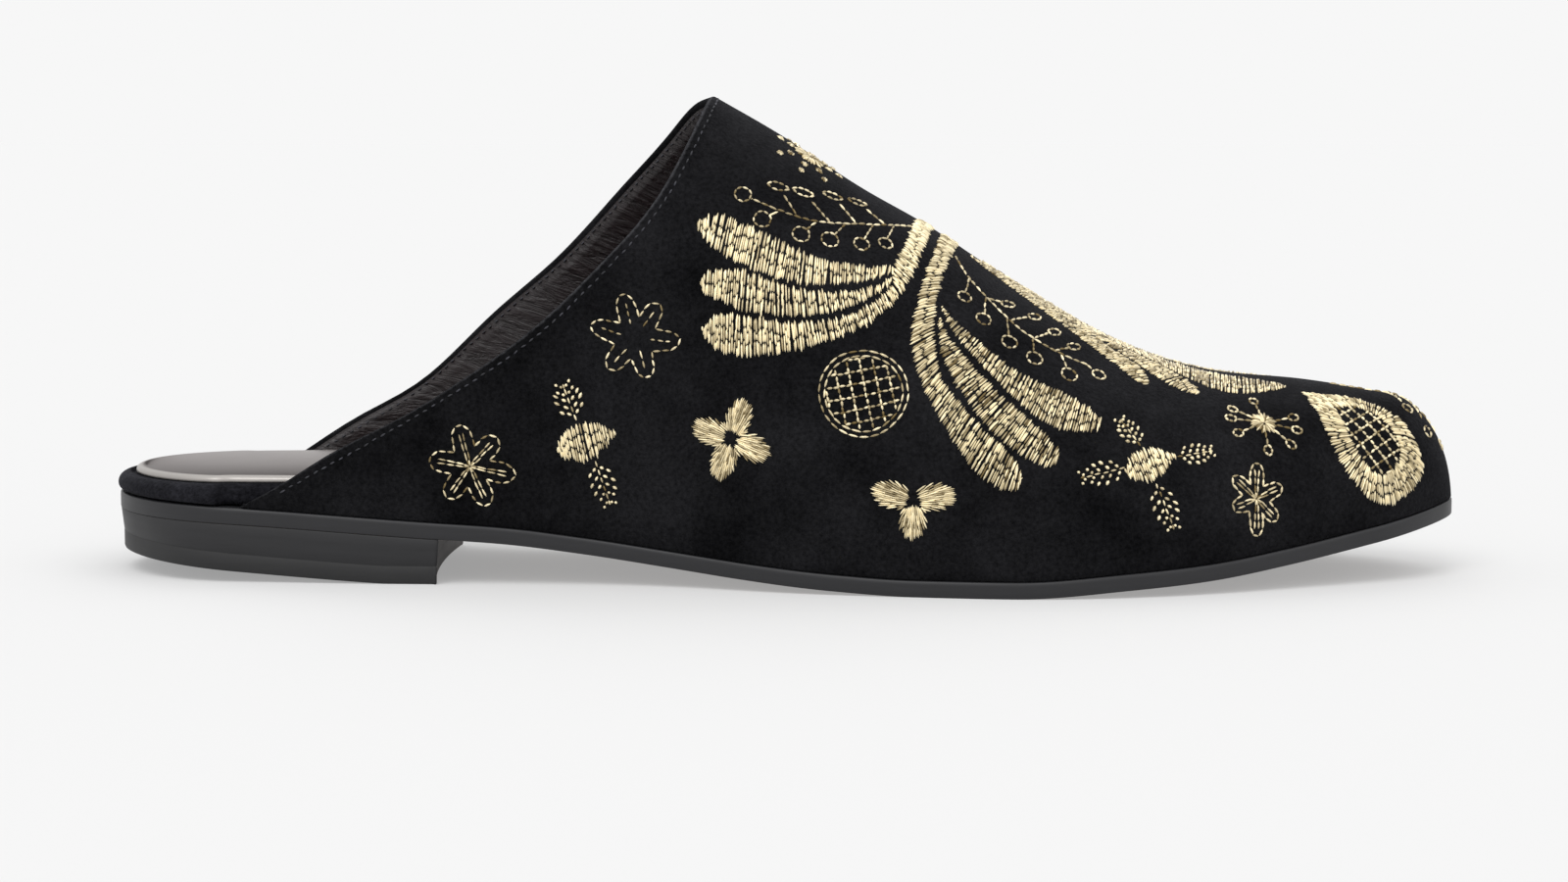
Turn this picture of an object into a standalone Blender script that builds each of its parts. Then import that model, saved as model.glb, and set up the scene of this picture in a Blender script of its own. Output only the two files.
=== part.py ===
# Flat closed-toe mule for the right foot, standing empty on its heel and ball.
# +X runs from the heel to the toe, +Y to the inner (medial) side, +Z up. Metres.

import math

import bpy
import numpy as np

MM = 0.001

# Driving sizes of the shoe
SHOE_LENGTH = 266.2 * MM  # outsole, back of the heel to the tip of the toe
BALL_LATERAL = 44.0 * MM  # heel-to-toe line to the outer edge at the ball
BALL_MEDIAL = 37.5 * MM  # heel-to-toe line to the inner edge at the ball
SEAT_WIDTH = 57.0 * MM  # outsole across the heel seat
HEEL_BACK_ROUNDING = 27.0 * MM  # length of the round back of the outline
TOE_ROUNDING = 17.0 * MM  # length of the round tip of the outline
TOE_SPRING = 11.5 * MM  # tip of the outsole above the floor
INSTEP_HEIGHT = 94.2 * MM  # floor to the peak of the throat
TOE_HEIGHT = 35.0 * MM  # floor to the top of the toe box
TOE_FRONT_ROUNDING = 12.0 * MM  # length over which the toe box comes down to its tip

# Sole and heel
SOLE_THICKNESS = 3.2 * MM
SOLE_EDGE_CHAMFER = 0.5 * MM
HEEL_HEIGHT = 9.2 * MM  # floor to the underside of the outsole at the breast
HEEL_LENGTH = 67.7 * MM  # back of the heel to the corners of its breast
HEEL_TAPER = 1.0 * MM  # how far the heel's tread lies inside its top
HEEL_FLAT = 11.0 * MM  # flat part of the tread behind the breast
HEEL_ROCKER = 4.3 * MM  # rise of the tread at the back of the heel
BREAST_HOLLOW = 1.5 * MM  # depth of the hollow curve of the breast
BREAST_SKEW = 2.2 * MM  # how far the breast's inner corner lies behind its outer one

# Upper
UPPER_WALL = 1.8 * MM  # suede and lining together
UPPER_EDGE_INSET = 0.4 * MM  # upper inside the edge of the outsole
THROAT_FROM_HEEL = 118.7 * MM  # back of the heel to the peak of the throat
COLLAR_START_LATERAL = 27.9 * MM  # back of the heel to the collar's outer end
COLLAR_START_MEDIAL = 24.2 * MM  # back of the heel to the collar's inner end

# Footbed and sock
FOOTBED_THICKNESS = 5.6 * MM
FOOTBED_OVERHANG = 0.4 * MM  # covered rim outside the outsole's edge at the heel
FOOTBED_RIM_RADIUS = 2.0 * MM
FOOTBED_TUCK = 1.3 * MM  # how far the rim's lower edge rolls in over the outsole
FOOTBED_STEP = 3.5 * MM  # length over which the rim steps in under the upper
SOCK_THICKNESS = 1.1 * MM
SOCK_MARGIN = 3.6 * MM  # rim left bare round the sock
SEAT_CUP = 0.8 * MM  # how far the seat is hollowed across

GAP = 0.3 * MM  # clearance between pieces that touch

# Resolution of the lofts
UPPER_ROWS = 38
UPPER_COLUMNS = 36
SOLE_STATIONS = 40
HEEL_STATIONS = 16
SOLE_COLUMNS = 6


def table(columns, *rows):
    """The rows of a table as named columns."""
    return dict(zip(columns.split(), np.array(rows, float).T))


# Outline of the outsole. along is the share of the length from the heel, and the
# half widths are shares of half the seat and of the two ball sizes.
OUTLINE = table(
    "along seat lateral medial",
    (0.00, 0.94, 0.00, 0.00),
    (0.12, 0.98, 0.00, 0.00),
    (0.23, 1.02, 0.00, 0.00),
    (0.32, 0.81, 0.14, 0.02),
    (0.42, 0.50, 0.39, 0.24),
    (0.50, 0.25, 0.69, 0.50),
    (0.60, 0.00, 0.955, 0.84),
    (0.67, 0.00, 1.00, 0.96),
    (0.73, 0.00, 0.975, 1.00),
    (0.80, 0.00, 0.86, 0.95),
    (0.87, 0.00, 0.67, 0.80),
    (0.93, 0.00, 0.49, 0.60),
    (1.00, 0.00, 0.30, 0.36),
)

# Underside of the outsole, as shares of the heel's height and of the toe spring.
SOLE_LINE = table(
    "along heel toe",
    (0.00, 1.34, 0.00),
    (0.07, 1.28, 0.00),
    (0.24, 0.98, 0.00),
    (0.30, 0.87, 0.00),
    (0.36, 0.665, 0.00),
    (0.42, 0.43, 0.00),
    (0.48, 0.23, 0.00),
    (0.54, 0.08, 0.00),
    (0.60, 0.00, 0.00),
    (0.67, 0.00, 0.00),
    (0.75, 0.00, 0.12),
    (0.81, 0.00, 0.228),
    (0.87, 0.00, 0.425),
    (0.93, 0.00, 0.675),
    (1.00, 0.00, 1.00),
)

# Ridge of the upper above the floor, as shares of the instep and toe heights. Behind
# the throat it goes on as the ridge of the last, which only shapes the side walls.
RIDGE_LINE = table(
    "along instep toe",
    (0.00, 1.75, 0.00),
    (0.25, 1.36, 0.00),
    (0.445, 1.00, 0.00),
    (0.50, 0.91, 0.00),
    (0.56, 0.80, 0.00),
    (0.61, 0.72, 0.00),
    (0.65, 0.645, 0.00),
    (0.69, 0.575, 0.00),
    (0.73, 0.30, 0.56),
    (0.78, 0.00, 1.205),
    (0.825, 0.00, 1.12),
    (0.88, 0.00, 1.085),
    (0.94, 0.00, 1.02),
    (1.00, 0.00, 0.95),
)

# Form of the upper's sections. fullness is the exponent of the curve from the feather
# edge to the ridge, shift moves the ridge inwards as a share of the inner ball size,
# and the swells bow the two sides out as shares of the ball sizes.
SECTIONS = table(
    "along fullness shift swell_lateral swell_medial",
    (0.00, 2.10, 0.06, 0.00, 0.00),
    (0.20, 2.10, 0.08, 0.02, 0.03),
    (0.35, 2.10, 0.11, 0.04, 0.13),
    (0.45, 2.05, 0.13, 0.04, 0.16),
    (0.55, 2.05, 0.13, 0.03, 0.12),
    (0.65, 2.10, 0.11, 0.025, 0.05),
    (0.75, 2.25, 0.08, 0.02, 0.03),
    (0.88, 2.45, 0.03, 0.02, 0.02),
    (1.00, 2.50, 0.00, 0.00, 0.00),
)

# Height of the collar over the feather edge, as shares of the throat's. along runs
# from each end of the collar to the throat.
COLLAR = table(
    "along lateral medial",
    (0.00, 0.00, 0.00),
    (0.10, 0.062, 0.079),
    (0.20, 0.134, 0.155),
    (0.35, 0.225, 0.259),
    (0.50, 0.329, 0.418),
    (0.65, 0.456, 0.571),
    (0.80, 0.628, 0.764),
    (0.91, 0.787, 0.909),
    (0.97, 0.920, 0.984),
    (1.00, 1.00, 1.00),
)

# Thickness of the footbed over the outsole, as a share of its named thickness.
FOOTBED_LINE = table(
    "along thickness",
    (0.00, 0.62),
    (0.07, 0.68),
    (0.14, 0.86),
    (0.24, 1.12),
    (0.36, 1.05),
    (0.50, 0.72),
    (0.65, 0.55),
    (1.00, 0.50),
)

# Colour, roughness and metallic value of each material
FINISHES = {
    "black_suede": ((0.012, 0.012, 0.015), 0.95, 0.0),
    "black_sole_leather": ((0.035, 0.035, 0.040), 0.50, 0.0),
    "black_heel_leather": ((0.030, 0.030, 0.034), 0.42, 0.0),
    "pewter_leather": ((0.300, 0.275, 0.275), 0.38, 0.25),
}


def level(rows, at, **sizes):
    """Monotone cubic through a table, so that its flats stay flat. Each named column
    counts in its own size."""
    x = rows["along"]
    y = sum(rows[name] * size for name, size in sizes.items())
    step = np.diff(x)
    slope = np.diff(y) / step
    tangent = np.zeros_like(y)
    tangent[0], tangent[-1] = slope[0], slope[-1]
    for i in range(1, len(x) - 1):
        if slope[i - 1] * slope[i] > 0:
            before = 2 * step[i] + step[i - 1]
            after = step[i] + 2 * step[i - 1]
            tangent[i] = (before + after) / (before / slope[i - 1] + after / slope[i])
    at = np.clip(at, x[0], x[-1])
    i = np.clip(np.searchsorted(x, at, side="right") - 1, 0, len(x) - 2)
    t = (at - x[i]) / step[i]
    return (
        (1 + 2 * t) * (1 - t) ** 2 * y[i]
        + t * (1 - t) ** 2 * step[i] * tangent[i]
        + t**2 * (3 - 2 * t) * y[i + 1]
        - t**2 * (1 - t) * step[i] * tangent[i + 1]
    )


def fair(rows, at, **sizes):
    """Natural cubic spline through a table, for faired lines. Each named column counts
    in its own size."""
    x = rows["along"]
    y = sum(rows[name] * size for name, size in sizes.items())
    step = np.diff(x)
    matrix = np.eye(len(x))
    right = np.zeros(len(x))
    for i in range(1, len(x) - 1):
        matrix[i, i - 1 : i + 2] = step[i - 1], 2 * (step[i - 1] + step[i]), step[i]
        right[i] = 6 * ((y[i + 1] - y[i]) / step[i] - (y[i] - y[i - 1]) / step[i - 1])
    bend = np.linalg.solve(matrix, right)
    at = np.clip(at, x[0], x[-1])
    i = np.clip(np.searchsorted(x, at, side="right") - 1, 0, len(x) - 2)
    h = step[i]
    before, after = x[i + 1] - at, at - x[i]
    cubic = (bend[i] * before**3 + bend[i + 1] * after**3) / (6 * h)
    line = (y[i] / h - bend[i] * h / 6) * before + (y[i + 1] / h - bend[i + 1] * h / 6) * after
    return cubic + line


def ease(t):
    """Smooth step from 0 to 1."""
    t = np.clip(t, 0, 1)
    return t * t * (3 - 2 * t)


def along(x):
    """Share of the length at x, 0 at the back of the heel and 1 at the tip of the toe."""
    return x / SHOE_LENGTH + 0.5


def from_heel(distance):
    """x at a distance from the back of the heel."""
    return distance - SHOE_LENGTH / 2


def quarter_round(distance, length):
    """0 at an end, rising as a quarter ellipse to 1 at that length from it."""
    left = 1 - np.clip(distance / length, 0, 1)
    return np.sqrt(np.maximum(1 - left**2, 0))


def half_width(x, side):
    """Outsole from the heel-to-toe line to its edge, on one side."""
    ball = {"lateral": BALL_LATERAL} if side < 0 else {"medial": BALL_MEDIAL}
    full = fair(OUTLINE, along(x), seat=SEAT_WIDTH / 2, **ball)
    heel_end = quarter_round(x + SHOE_LENGTH / 2, HEEL_BACK_ROUNDING)
    toe_end = quarter_round(SHOE_LENGTH / 2 - x, TOE_ROUNDING)
    return full * heel_end * toe_end


def sole_bottom(x):
    """Height of the outsole's underside over the floor."""
    return level(SOLE_LINE, along(x), heel=HEEL_HEIGHT, toe=TOE_SPRING)


def sole_top(x):
    return sole_bottom(x) + SOLE_THICKNESS


def feather(x):
    """Height of the upper's lower edge, just clear of the outsole."""
    return sole_top(x) + GAP


def upper_length_end():
    """x of the upper's own toe tip."""
    return SHOE_LENGTH / 2 - UPPER_EDGE_INSET


def ridge(x):
    """Height of the ridge over the feather edge."""
    top = fair(RIDGE_LINE, along(x), instep=INSTEP_HEIGHT, toe=TOE_HEIGHT)
    return (top - feather(x)) * quarter_round(upper_length_end() - x, TOE_FRONT_ROUNDING)


def upper_point(x, angle, side):
    """Outer face of the upper at x. angle runs from 0 at the feather edge to a right
    angle at the ridge, and side is -1 on the lateral side and 1 on the medial one."""
    share = along(x)
    power = 2 / fair(SECTIONS, share, fullness=1)
    if side < 0:
        swell = fair(SECTIONS, share, swell_lateral=BALL_LATERAL)
    else:
        swell = fair(SECTIONS, share, swell_medial=BALL_MEDIAL)
    toe_end = quarter_round(upper_length_end() - x, TOE_ROUNDING)
    rise = np.sin(angle) ** power
    swell = swell * toe_end * 6.75 * rise * (1 - rise) ** 2
    shift = fair(SECTIONS, share, shift=BALL_MEDIAL) * toe_end
    reach = np.maximum(half_width(x, side) - UPPER_EDGE_INSET, 0) - side * shift
    reach = np.where(x >= upper_length_end(), 0, reach)
    y = shift + side * (reach * np.cos(angle) ** power + swell)
    return np.array([x, y, feather(x) + ridge(x) * rise])


def collar_x(angle, side):
    """x at which the collar crosses one lengthwise line of the upper, by bisection."""
    name = "lateral" if side < 0 else "medial"
    start = COLLAR_START_LATERAL if side < 0 else COLLAR_START_MEDIAL
    low, high = from_heel(start), from_heel(THROAT_FROM_HEEL)
    first, length = low, high - low
    peak = ridge(high)
    for _ in range(40):
        middle = (low + high) / 2
        allowed = fair(COLLAR, (middle - first) / length, **{name: peak})
        if upper_point(middle, angle, side)[2] - feather(middle) > allowed:
            low = middle
        else:
            high = middle
    return (low + high) / 2


def mesh_object(name, points, faces, finish):
    """A closed mesh as one object, with its own material."""
    mesh = bpy.data.meshes.new(name)
    mesh.from_pydata([tuple(p) for p in points], [], faces)
    mesh.validate()
    colour, roughness, metallic = FINISHES[finish]
    material = bpy.data.materials.new(finish)
    material.use_nodes = True
    shader = material.node_tree.nodes["Principled BSDF"]
    shader.inputs["Base Color"].default_value = (*colour, 1)
    shader.inputs["Roughness"].default_value = roughness
    shader.inputs["Metallic"].default_value = metallic
    mesh.materials.append(material)
    made = bpy.data.objects.new(name, mesh)
    bpy.context.scene.collection.objects.link(made)
    mesh.shade_smooth()
    mesh.set_sharp_from_angle(angle=math.radians(40))
    return made


def upper_grid():
    """Outer face of the upper. Each row runs from the lateral feather edge over the
    ridge to the medial one. The first row is the collar and the last is the toe tip."""
    half = UPPER_COLUMNS // 2
    angles = np.linspace(0, math.pi / 2, half + 1)
    lines = [(a, -1) for a in angles] + [(a, 1) for a in angles[-2::-1]]
    end = upper_length_end()
    rows = 1 - (1 - np.linspace(0, 1, UPPER_ROWS + 1)) ** 1.8
    grid = np.zeros((UPPER_ROWS + 1, len(lines), 3))
    for j, (angle, side) in enumerate(lines):
        start = collar_x(angle, side)
        grid[:, j] = upper_point(start + (end - start) * rows, angle, side).T
    return grid


def outward_normals(grid):
    """Unit normals of the upper's grid, level along both feather edges."""
    down_rows = np.gradient(grid, axis=0)
    across = np.gradient(grid, axis=1)
    normals = np.cross(down_rows, across)
    normals[:, [0, -1], 2] = 0
    normals[-1] = (1, 0, 0)
    return normals / np.linalg.norm(normals, axis=2, keepdims=True)


def build_upper():
    """One hollow wall, open at the collar, at the back and underneath."""
    outer = upper_grid()
    inner = outer - outward_normals(outer) * UPPER_WALL
    for edge in (0, -1):
        inner[:, edge, 2] = feather(inner[:, edge, 0])
    rows, columns = outer.shape[:2]
    tip = rows - 1
    points = []
    index = np.zeros((2, rows, columns), int)
    for skin, grid in enumerate((outer, inner)):
        for i in range(tip):
            for j in range(columns):
                index[skin, i, j] = len(points)
                points.append(grid[i, j])
        index[skin, tip] = len(points)
        points.append(grid[tip, 0])
    faces = []

    def add(*corners):
        kept = list(dict.fromkeys(int(c) for c in corners))
        if len(kept) > 2:
            faces.append(kept)

    out, inn = index
    for i in range(tip):
        for j in range(columns - 1):
            add(out[i, j], out[i + 1, j], out[i + 1, j + 1], out[i, j + 1])
            add(inn[i, j], inn[i, j + 1], inn[i + 1, j + 1], inn[i + 1, j])
        add(out[i, 0], inn[i, 0], inn[i + 1, 0], out[i + 1, 0])
        add(out[i, -1], out[i + 1, -1], inn[i + 1, -1], inn[i, -1])
    for j in range(columns - 1):
        add(out[0, j], out[0, j + 1], inn[0, j + 1], inn[0, j])
    return mesh_object("upper", points, faces, "black_suede")


def stations(first, last, count):
    """x values from first to last, close together at the two ends."""
    return first + (last - first) * (1 - np.cos(np.linspace(0, math.pi, count + 1))) / 2


def edge_ring(x, side):
    """Edge of the outline at the stations x, and its outward directions in plan."""
    y = side * half_width(x, side)
    step = 0.02 * MM
    behind = np.maximum(x - step, -SHOE_LENGTH / 2)
    ahead = np.minimum(x + step, SHOE_LENGTH / 2)
    slope = side * (half_width(ahead, side) - half_width(behind, side)) / (ahead - behind)
    normal = np.stack([-slope * side, np.full_like(x, side)])
    normal /= np.linalg.norm(normal, axis=0)
    at_heel, at_toe = x <= -SHOE_LENGTH / 2, x >= SHOE_LENGTH / 2
    normal[:, at_heel] = [[-1], [0]]
    normal[:, at_toe] = [[1], [0]]
    return np.stack([x, y]), normal


def slab(name, x, rings, finish, bow=None, open_end=None, medial_x=None):
    """A closed slab between the two edges of the outline. rings go from the rim of the
    underside, round the edge, to the rim of the top: each is (inset, height), the first
    a function of x and side, the second of x. bow adds to the top's height across.
    open_end, a share across to an x, shapes a front wall where the slab stops short of
    the toe, and medial_x gives the inner edge its own stations."""
    spans = SOLE_COLUMNS
    across = np.linspace(0, 1, spans + 1)
    places = {-1: x, 1: x if medial_x is None else medial_x}
    edges = {side: edge_ring(places[side], side) for side in (-1, 1)}
    count = len(x)
    points, faces = [], []

    def ring_side(inset, height, side):
        place, normal = edges[side]
        moved = place - normal * inset(places[side], side)
        return np.stack([moved[0], moved[1], height(moved[0])], axis=1)

    def put(point):
        points.append(np.array(point, float))
        return len(points) - 1

    def ends_meet(i):
        return i == 0 or (i == count - 1 and open_end is None)

    def add(*corners):
        kept = list(dict.fromkeys(corners))
        if len(kept) > 2:
            faces.append(kept)

    index = []
    for inset, height in rings:
        sides = {side: ring_side(inset, height, side) for side in (-1, 1)}
        ids = {-1: [], 1: []}
        for i in range(count):
            ids[-1].append(put(sides[-1][i]))
            ids[1].append(ids[-1][i] if ends_meet(i) else put(sides[1][i]))
        index.append((ids, sides))

    def cap(ring, top):
        ids, sides = index[ring]
        height = rings[ring][1]
        lines = []
        for i in range(count):
            if ends_meet(i):
                lines.append([ids[-1][i]] * (spans + 1))
                continue
            a, b = sides[-1][i], sides[1][i]
            line = [ids[-1][i]]
            for share in across[1:-1]:
                at = a + (b - a) * share
                if open_end is not None:
                    blend = ease((at[0] - x[0]) / (x[-1] - x[0]))
                    at[0] -= open_end(share) * blend
                at[2] = height(at[0])
                if top and bow is not None:
                    at[2] += bow(at[0]) * 4 * share * (1 - share)
                line.append(put(at))
            line.append(ids[1][i])
            lines.append(line)
        for first, second in zip(lines, lines[1:]):
            for k in range(spans):
                quad = (first[k], second[k], second[k + 1], first[k + 1])
                add(*(quad if top else quad[::-1]))
        return lines[-1]

    under, over = cap(0, False), cap(len(rings) - 1, True)
    for (low, _), (high, _) in zip(index, index[1:]):
        for i in range(count - 1):
            add(low[-1][i], low[-1][i + 1], high[-1][i + 1], high[-1][i])
            add(low[1][i + 1], low[1][i], high[1][i], high[1][i + 1])
    if open_end is not None:
        lateral = [ids[-1][-1] for ids, _ in index]
        medial = [ids[1][-1] for ids, _ in index]
        faces.append([under[1], over[1], *lateral[::-1]])
        faces.append([*medial, over[-2], under[-2]])
        for k in range(1, spans - 1):
            faces.append([under[k], under[k + 1], over[k + 1], over[k]])
    return mesh_object(name, points, faces, finish)


def constant(value):
    return lambda x, side: np.full_like(np.asarray(x, float), value)


def build_outsole():
    """Thin sole with the arch and the toe spring, its edges chamfered."""
    x = stations(-SHOE_LENGTH / 2, SHOE_LENGTH / 2, SOLE_STATIONS)
    chamfer = SOLE_EDGE_CHAMFER
    rings = [
        (constant(chamfer), sole_bottom),
        (constant(0), lambda at: sole_bottom(at) + chamfer),
        (constant(0), lambda at: sole_top(at) - chamfer),
        (constant(chamfer), sole_top),
    ]
    return slab("outsole", x, rings, "black_sole_leather")


def heel_tread(x):
    """Underside of the heel: flat behind the breast, then rising to the back."""
    flat_from = from_heel(HEEL_LENGTH - HEEL_FLAT)
    length = HEEL_LENGTH - HEEL_FLAT
    return HEEL_ROCKER * np.clip((flat_from - x) / length, 0, 1) ** 1.12


def build_heel():
    """Low block under the seat, tapered to its tread, with a hollow breast."""
    shares = np.linspace(0, 1, HEEL_STATIONS + 1) ** 1.7
    x = from_heel(HEEL_LENGTH * shares)
    rings = [
        (constant(HEEL_TAPER + 0.5 * SOLE_EDGE_CHAMFER), heel_tread),
        (constant(HEEL_TAPER), lambda at: heel_tread(at) + SOLE_EDGE_CHAMFER),
        (constant(0.4 * MM), lambda at: sole_bottom(at) - GAP),
    ]
    return slab(
        "heel",
        x,
        rings,
        "black_heel_leather",
        open_end=lambda share: BREAST_HOLLOW * 4 * share * (1 - share),
        medial_x=from_heel((HEEL_LENGTH - BREAST_SKEW) * shares),
    )


def footbed_top(x):
    """Height of the footbed's rim."""
    return feather(x) + fair(FOOTBED_LINE, along(x), thickness=FOOTBED_THICKNESS)


def seat_cup(x):
    """Depth of the hollow across the seat, fading out towards the waist."""
    return -SEAT_CUP * (1 - ease((along(x) - 0.25) / 0.25))


def step_start(side):
    """x at which the footbed's rim begins to step in, on one side."""
    start = COLLAR_START_LATERAL if side < 0 else COLLAR_START_MEDIAL
    return from_heel(start) - FOOTBED_STEP - UPPER_WALL


def under_upper(x, side):
    """Extra inset of the footbed where the upper's wall stands outside it."""
    depth = UPPER_EDGE_INSET + UPPER_WALL + GAP + FOOTBED_OVERHANG
    return depth * ease((x - step_start(side)) / FOOTBED_STEP)


def footbed_stations():
    """Stations of the outline, with three on each side's step."""
    x = stations(-SHOE_LENGTH / 2, SHOE_LENGTH / 2, SOLE_STATIONS)
    shares = np.array([0, 0.5, 1]) * FOOTBED_STEP
    return np.unique(np.concatenate([x, step_start(-1) + shares, step_start(1) + shares]))


def build_footbed():
    """Padded insole board. Its rim shows round the open heel and steps in under the
    upper's wall."""
    x = footbed_stations()
    radius = FOOTBED_RIM_RADIUS

    def ring(extra, height):
        return lambda at, side: extra - FOOTBED_OVERHANG + under_upper(at, side), height

    rings = [
        ring(FOOTBED_TUCK, feather),
        ring(0.3 * FOOTBED_TUCK, lambda at: feather(at) + 0.35 * FOOTBED_TUCK),
        ring(0, lambda at: feather(at) + 0.9 * FOOTBED_TUCK),
        ring(0.3 * radius, lambda at: footbed_top(at) - 0.3 * radius),
        ring(radius, footbed_top),
    ]
    return slab("footbed", x, rings, "black_suede", bow=seat_cup)


def build_sock():
    """Thin leather sock on the footbed, with a bare margin round it."""
    x = stations(-SHOE_LENGTH / 2, SHOE_LENGTH / 2, SOLE_STATIONS)

    def inset(extra):
        margin = SOCK_MARGIN - FOOTBED_OVERHANG + extra
        return lambda at, side: margin + 0.4 * under_upper(at, side)

    base = lambda at: footbed_top(at) + GAP
    rings = [
        (inset(0), base),
        (inset(0), lambda at: base(at) + 0.6 * SOCK_THICKNESS),
        (inset(0.5 * SOCK_THICKNESS), lambda at: base(at) + SOCK_THICKNESS),
    ]
    return slab("sock", x, rings, "pewter_leather", bow=seat_cup)


def centre_on_floor(made):
    """Moves every mesh so that the box of the whole shoe is centred over the origin
    and its lowest point is at height 0."""
    corners = np.array([v.co for obj in made for v in obj.data.vertices])
    low, high = corners.min(axis=0), corners.max(axis=0)
    shift = ((low[0] + high[0]) / 2, (low[1] + high[1]) / 2, low[2])
    for obj in made:
        for vertex in obj.data.vertices:
            vertex.co = [c - s for c, s in zip(vertex.co, shift)]
    return shift


def main():
    for old in list(bpy.data.objects):
        bpy.data.objects.remove(old)
    made = [build_outsole(), build_heel(), build_footbed(), build_sock(), build_upper()]
    return centre_on_floor(made)


frame_shift = main()
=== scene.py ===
import math
from functools import partial

import bpy
import numpy as np
from mathutils import Matrix, Vector


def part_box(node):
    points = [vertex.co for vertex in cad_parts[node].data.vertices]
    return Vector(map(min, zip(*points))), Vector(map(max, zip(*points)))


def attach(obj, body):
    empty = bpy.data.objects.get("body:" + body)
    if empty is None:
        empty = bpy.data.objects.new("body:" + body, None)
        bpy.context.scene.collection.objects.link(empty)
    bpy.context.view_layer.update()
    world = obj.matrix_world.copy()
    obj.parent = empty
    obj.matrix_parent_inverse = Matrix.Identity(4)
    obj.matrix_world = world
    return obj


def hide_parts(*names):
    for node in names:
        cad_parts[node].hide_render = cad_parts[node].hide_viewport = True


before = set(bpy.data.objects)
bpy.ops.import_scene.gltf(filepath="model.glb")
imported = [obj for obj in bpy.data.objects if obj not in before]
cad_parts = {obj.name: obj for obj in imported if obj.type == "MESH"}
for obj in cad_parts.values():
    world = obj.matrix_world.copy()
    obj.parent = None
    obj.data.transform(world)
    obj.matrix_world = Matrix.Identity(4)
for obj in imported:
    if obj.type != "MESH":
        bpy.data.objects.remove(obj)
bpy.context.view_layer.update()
bpy.ops.object.select_all(action="DESELECT")
mm = 0.001


# Tables and curves of the last, the same as the frame's own
def table(columns, *rows):
    return dict(zip(columns.split(), np.array(rows, float).T))


last = {  # lengths in millimetres, x from the middle of the sole towards the toe
    "length": 266.2,
    "ballLateral": 44.0,
    "ballMedial": 37.5,
    "seatHalf": 28.5,
    "heelRounding": 27.0,
    "toeRounding": 17.0,
    "toeSpring": 11.5,
    "instep": 94.2,
    "toeHeight": 35.0,
    "toeFront": 12.0,
    "soleThick": 3.2,
    "heelHeight": 9.2,
    "gap": 0.3,
    "edgeInset": 0.4,
    "throat": 118.7,
    "collarLateral": 27.9,
    "collarMedial": 24.2,
    "outline": table(
        "along seat lateral medial",
        (0, 0.94, 0, 0), (0.12, 0.98, 0, 0), (0.23, 1.02, 0, 0), (0.32, 0.81, 0.14, 0.02),
        (0.42, 0.5, 0.39, 0.24), (0.5, 0.25, 0.69, 0.5), (0.6, 0, 0.955, 0.84), (0.67, 0, 1, 0.96),
        (0.73, 0, 0.975, 1), (0.8, 0, 0.86, 0.95), (0.87, 0, 0.67, 0.8), (0.93, 0, 0.49, 0.6),
        (1, 0, 0.3, 0.36),
    ),
    "soleLine": table(
        "along heel toe",
        (0, 1.34, 0), (0.07, 1.28, 0), (0.24, 0.98, 0), (0.3, 0.87, 0), (0.36, 0.665, 0),
        (0.42, 0.43, 0), (0.48, 0.23, 0), (0.54, 0.08, 0), (0.6, 0, 0), (0.67, 0, 0),
        (0.75, 0, 0.12), (0.81, 0, 0.228), (0.87, 0, 0.425), (0.93, 0, 0.675), (1, 0, 1),
    ),
    "ridge": table(
        "along instep toe",
        (0, 1.75, 0), (0.25, 1.36, 0), (0.445, 1, 0), (0.5, 0.91, 0), (0.56, 0.8, 0),
        (0.61, 0.72, 0), (0.65, 0.645, 0), (0.69, 0.575, 0), (0.73, 0.3, 0.56), (0.78, 0, 1.205),
        (0.825, 0, 1.12), (0.88, 0, 1.085), (0.94, 0, 1.02), (1, 0, 0.95),
    ),
    "sections": table(
        "along fullness shift swellLateral swellMedial",
        (0, 2.1, 0.06, 0, 0), (0.2, 2.1, 0.08, 0.02, 0.03), (0.35, 2.1, 0.11, 0.04, 0.13),
        (0.45, 2.05, 0.13, 0.04, 0.16), (0.55, 2.05, 0.13, 0.03, 0.12),
        (0.65, 2.1, 0.11, 0.025, 0.05), (0.75, 2.25, 0.08, 0.02, 0.03),
        (0.88, 2.45, 0.03, 0.02, 0.02), (1, 2.5, 0, 0, 0),
    ),
    "collar": table(
        "along lateral medial",
        (0, 0, 0), (0.1, 0.062, 0.079), (0.2, 0.134, 0.155), (0.35, 0.225, 0.259),
        (0.5, 0.329, 0.418), (0.65, 0.456, 0.571), (0.8, 0.628, 0.764), (0.91, 0.787, 0.909),
        (0.97, 0.92, 0.984), (1, 1, 1),
    ),
    "footbed": table(
        "along thickness",
        (0, 0.62), (0.07, 0.68), (0.14, 0.86), (0.24, 1.12), (0.36, 1.05), (0.5, 0.72),
        (0.65, 0.55), (1, 0.5),
    ),
}
halfLength = last["length"] / 2


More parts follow.
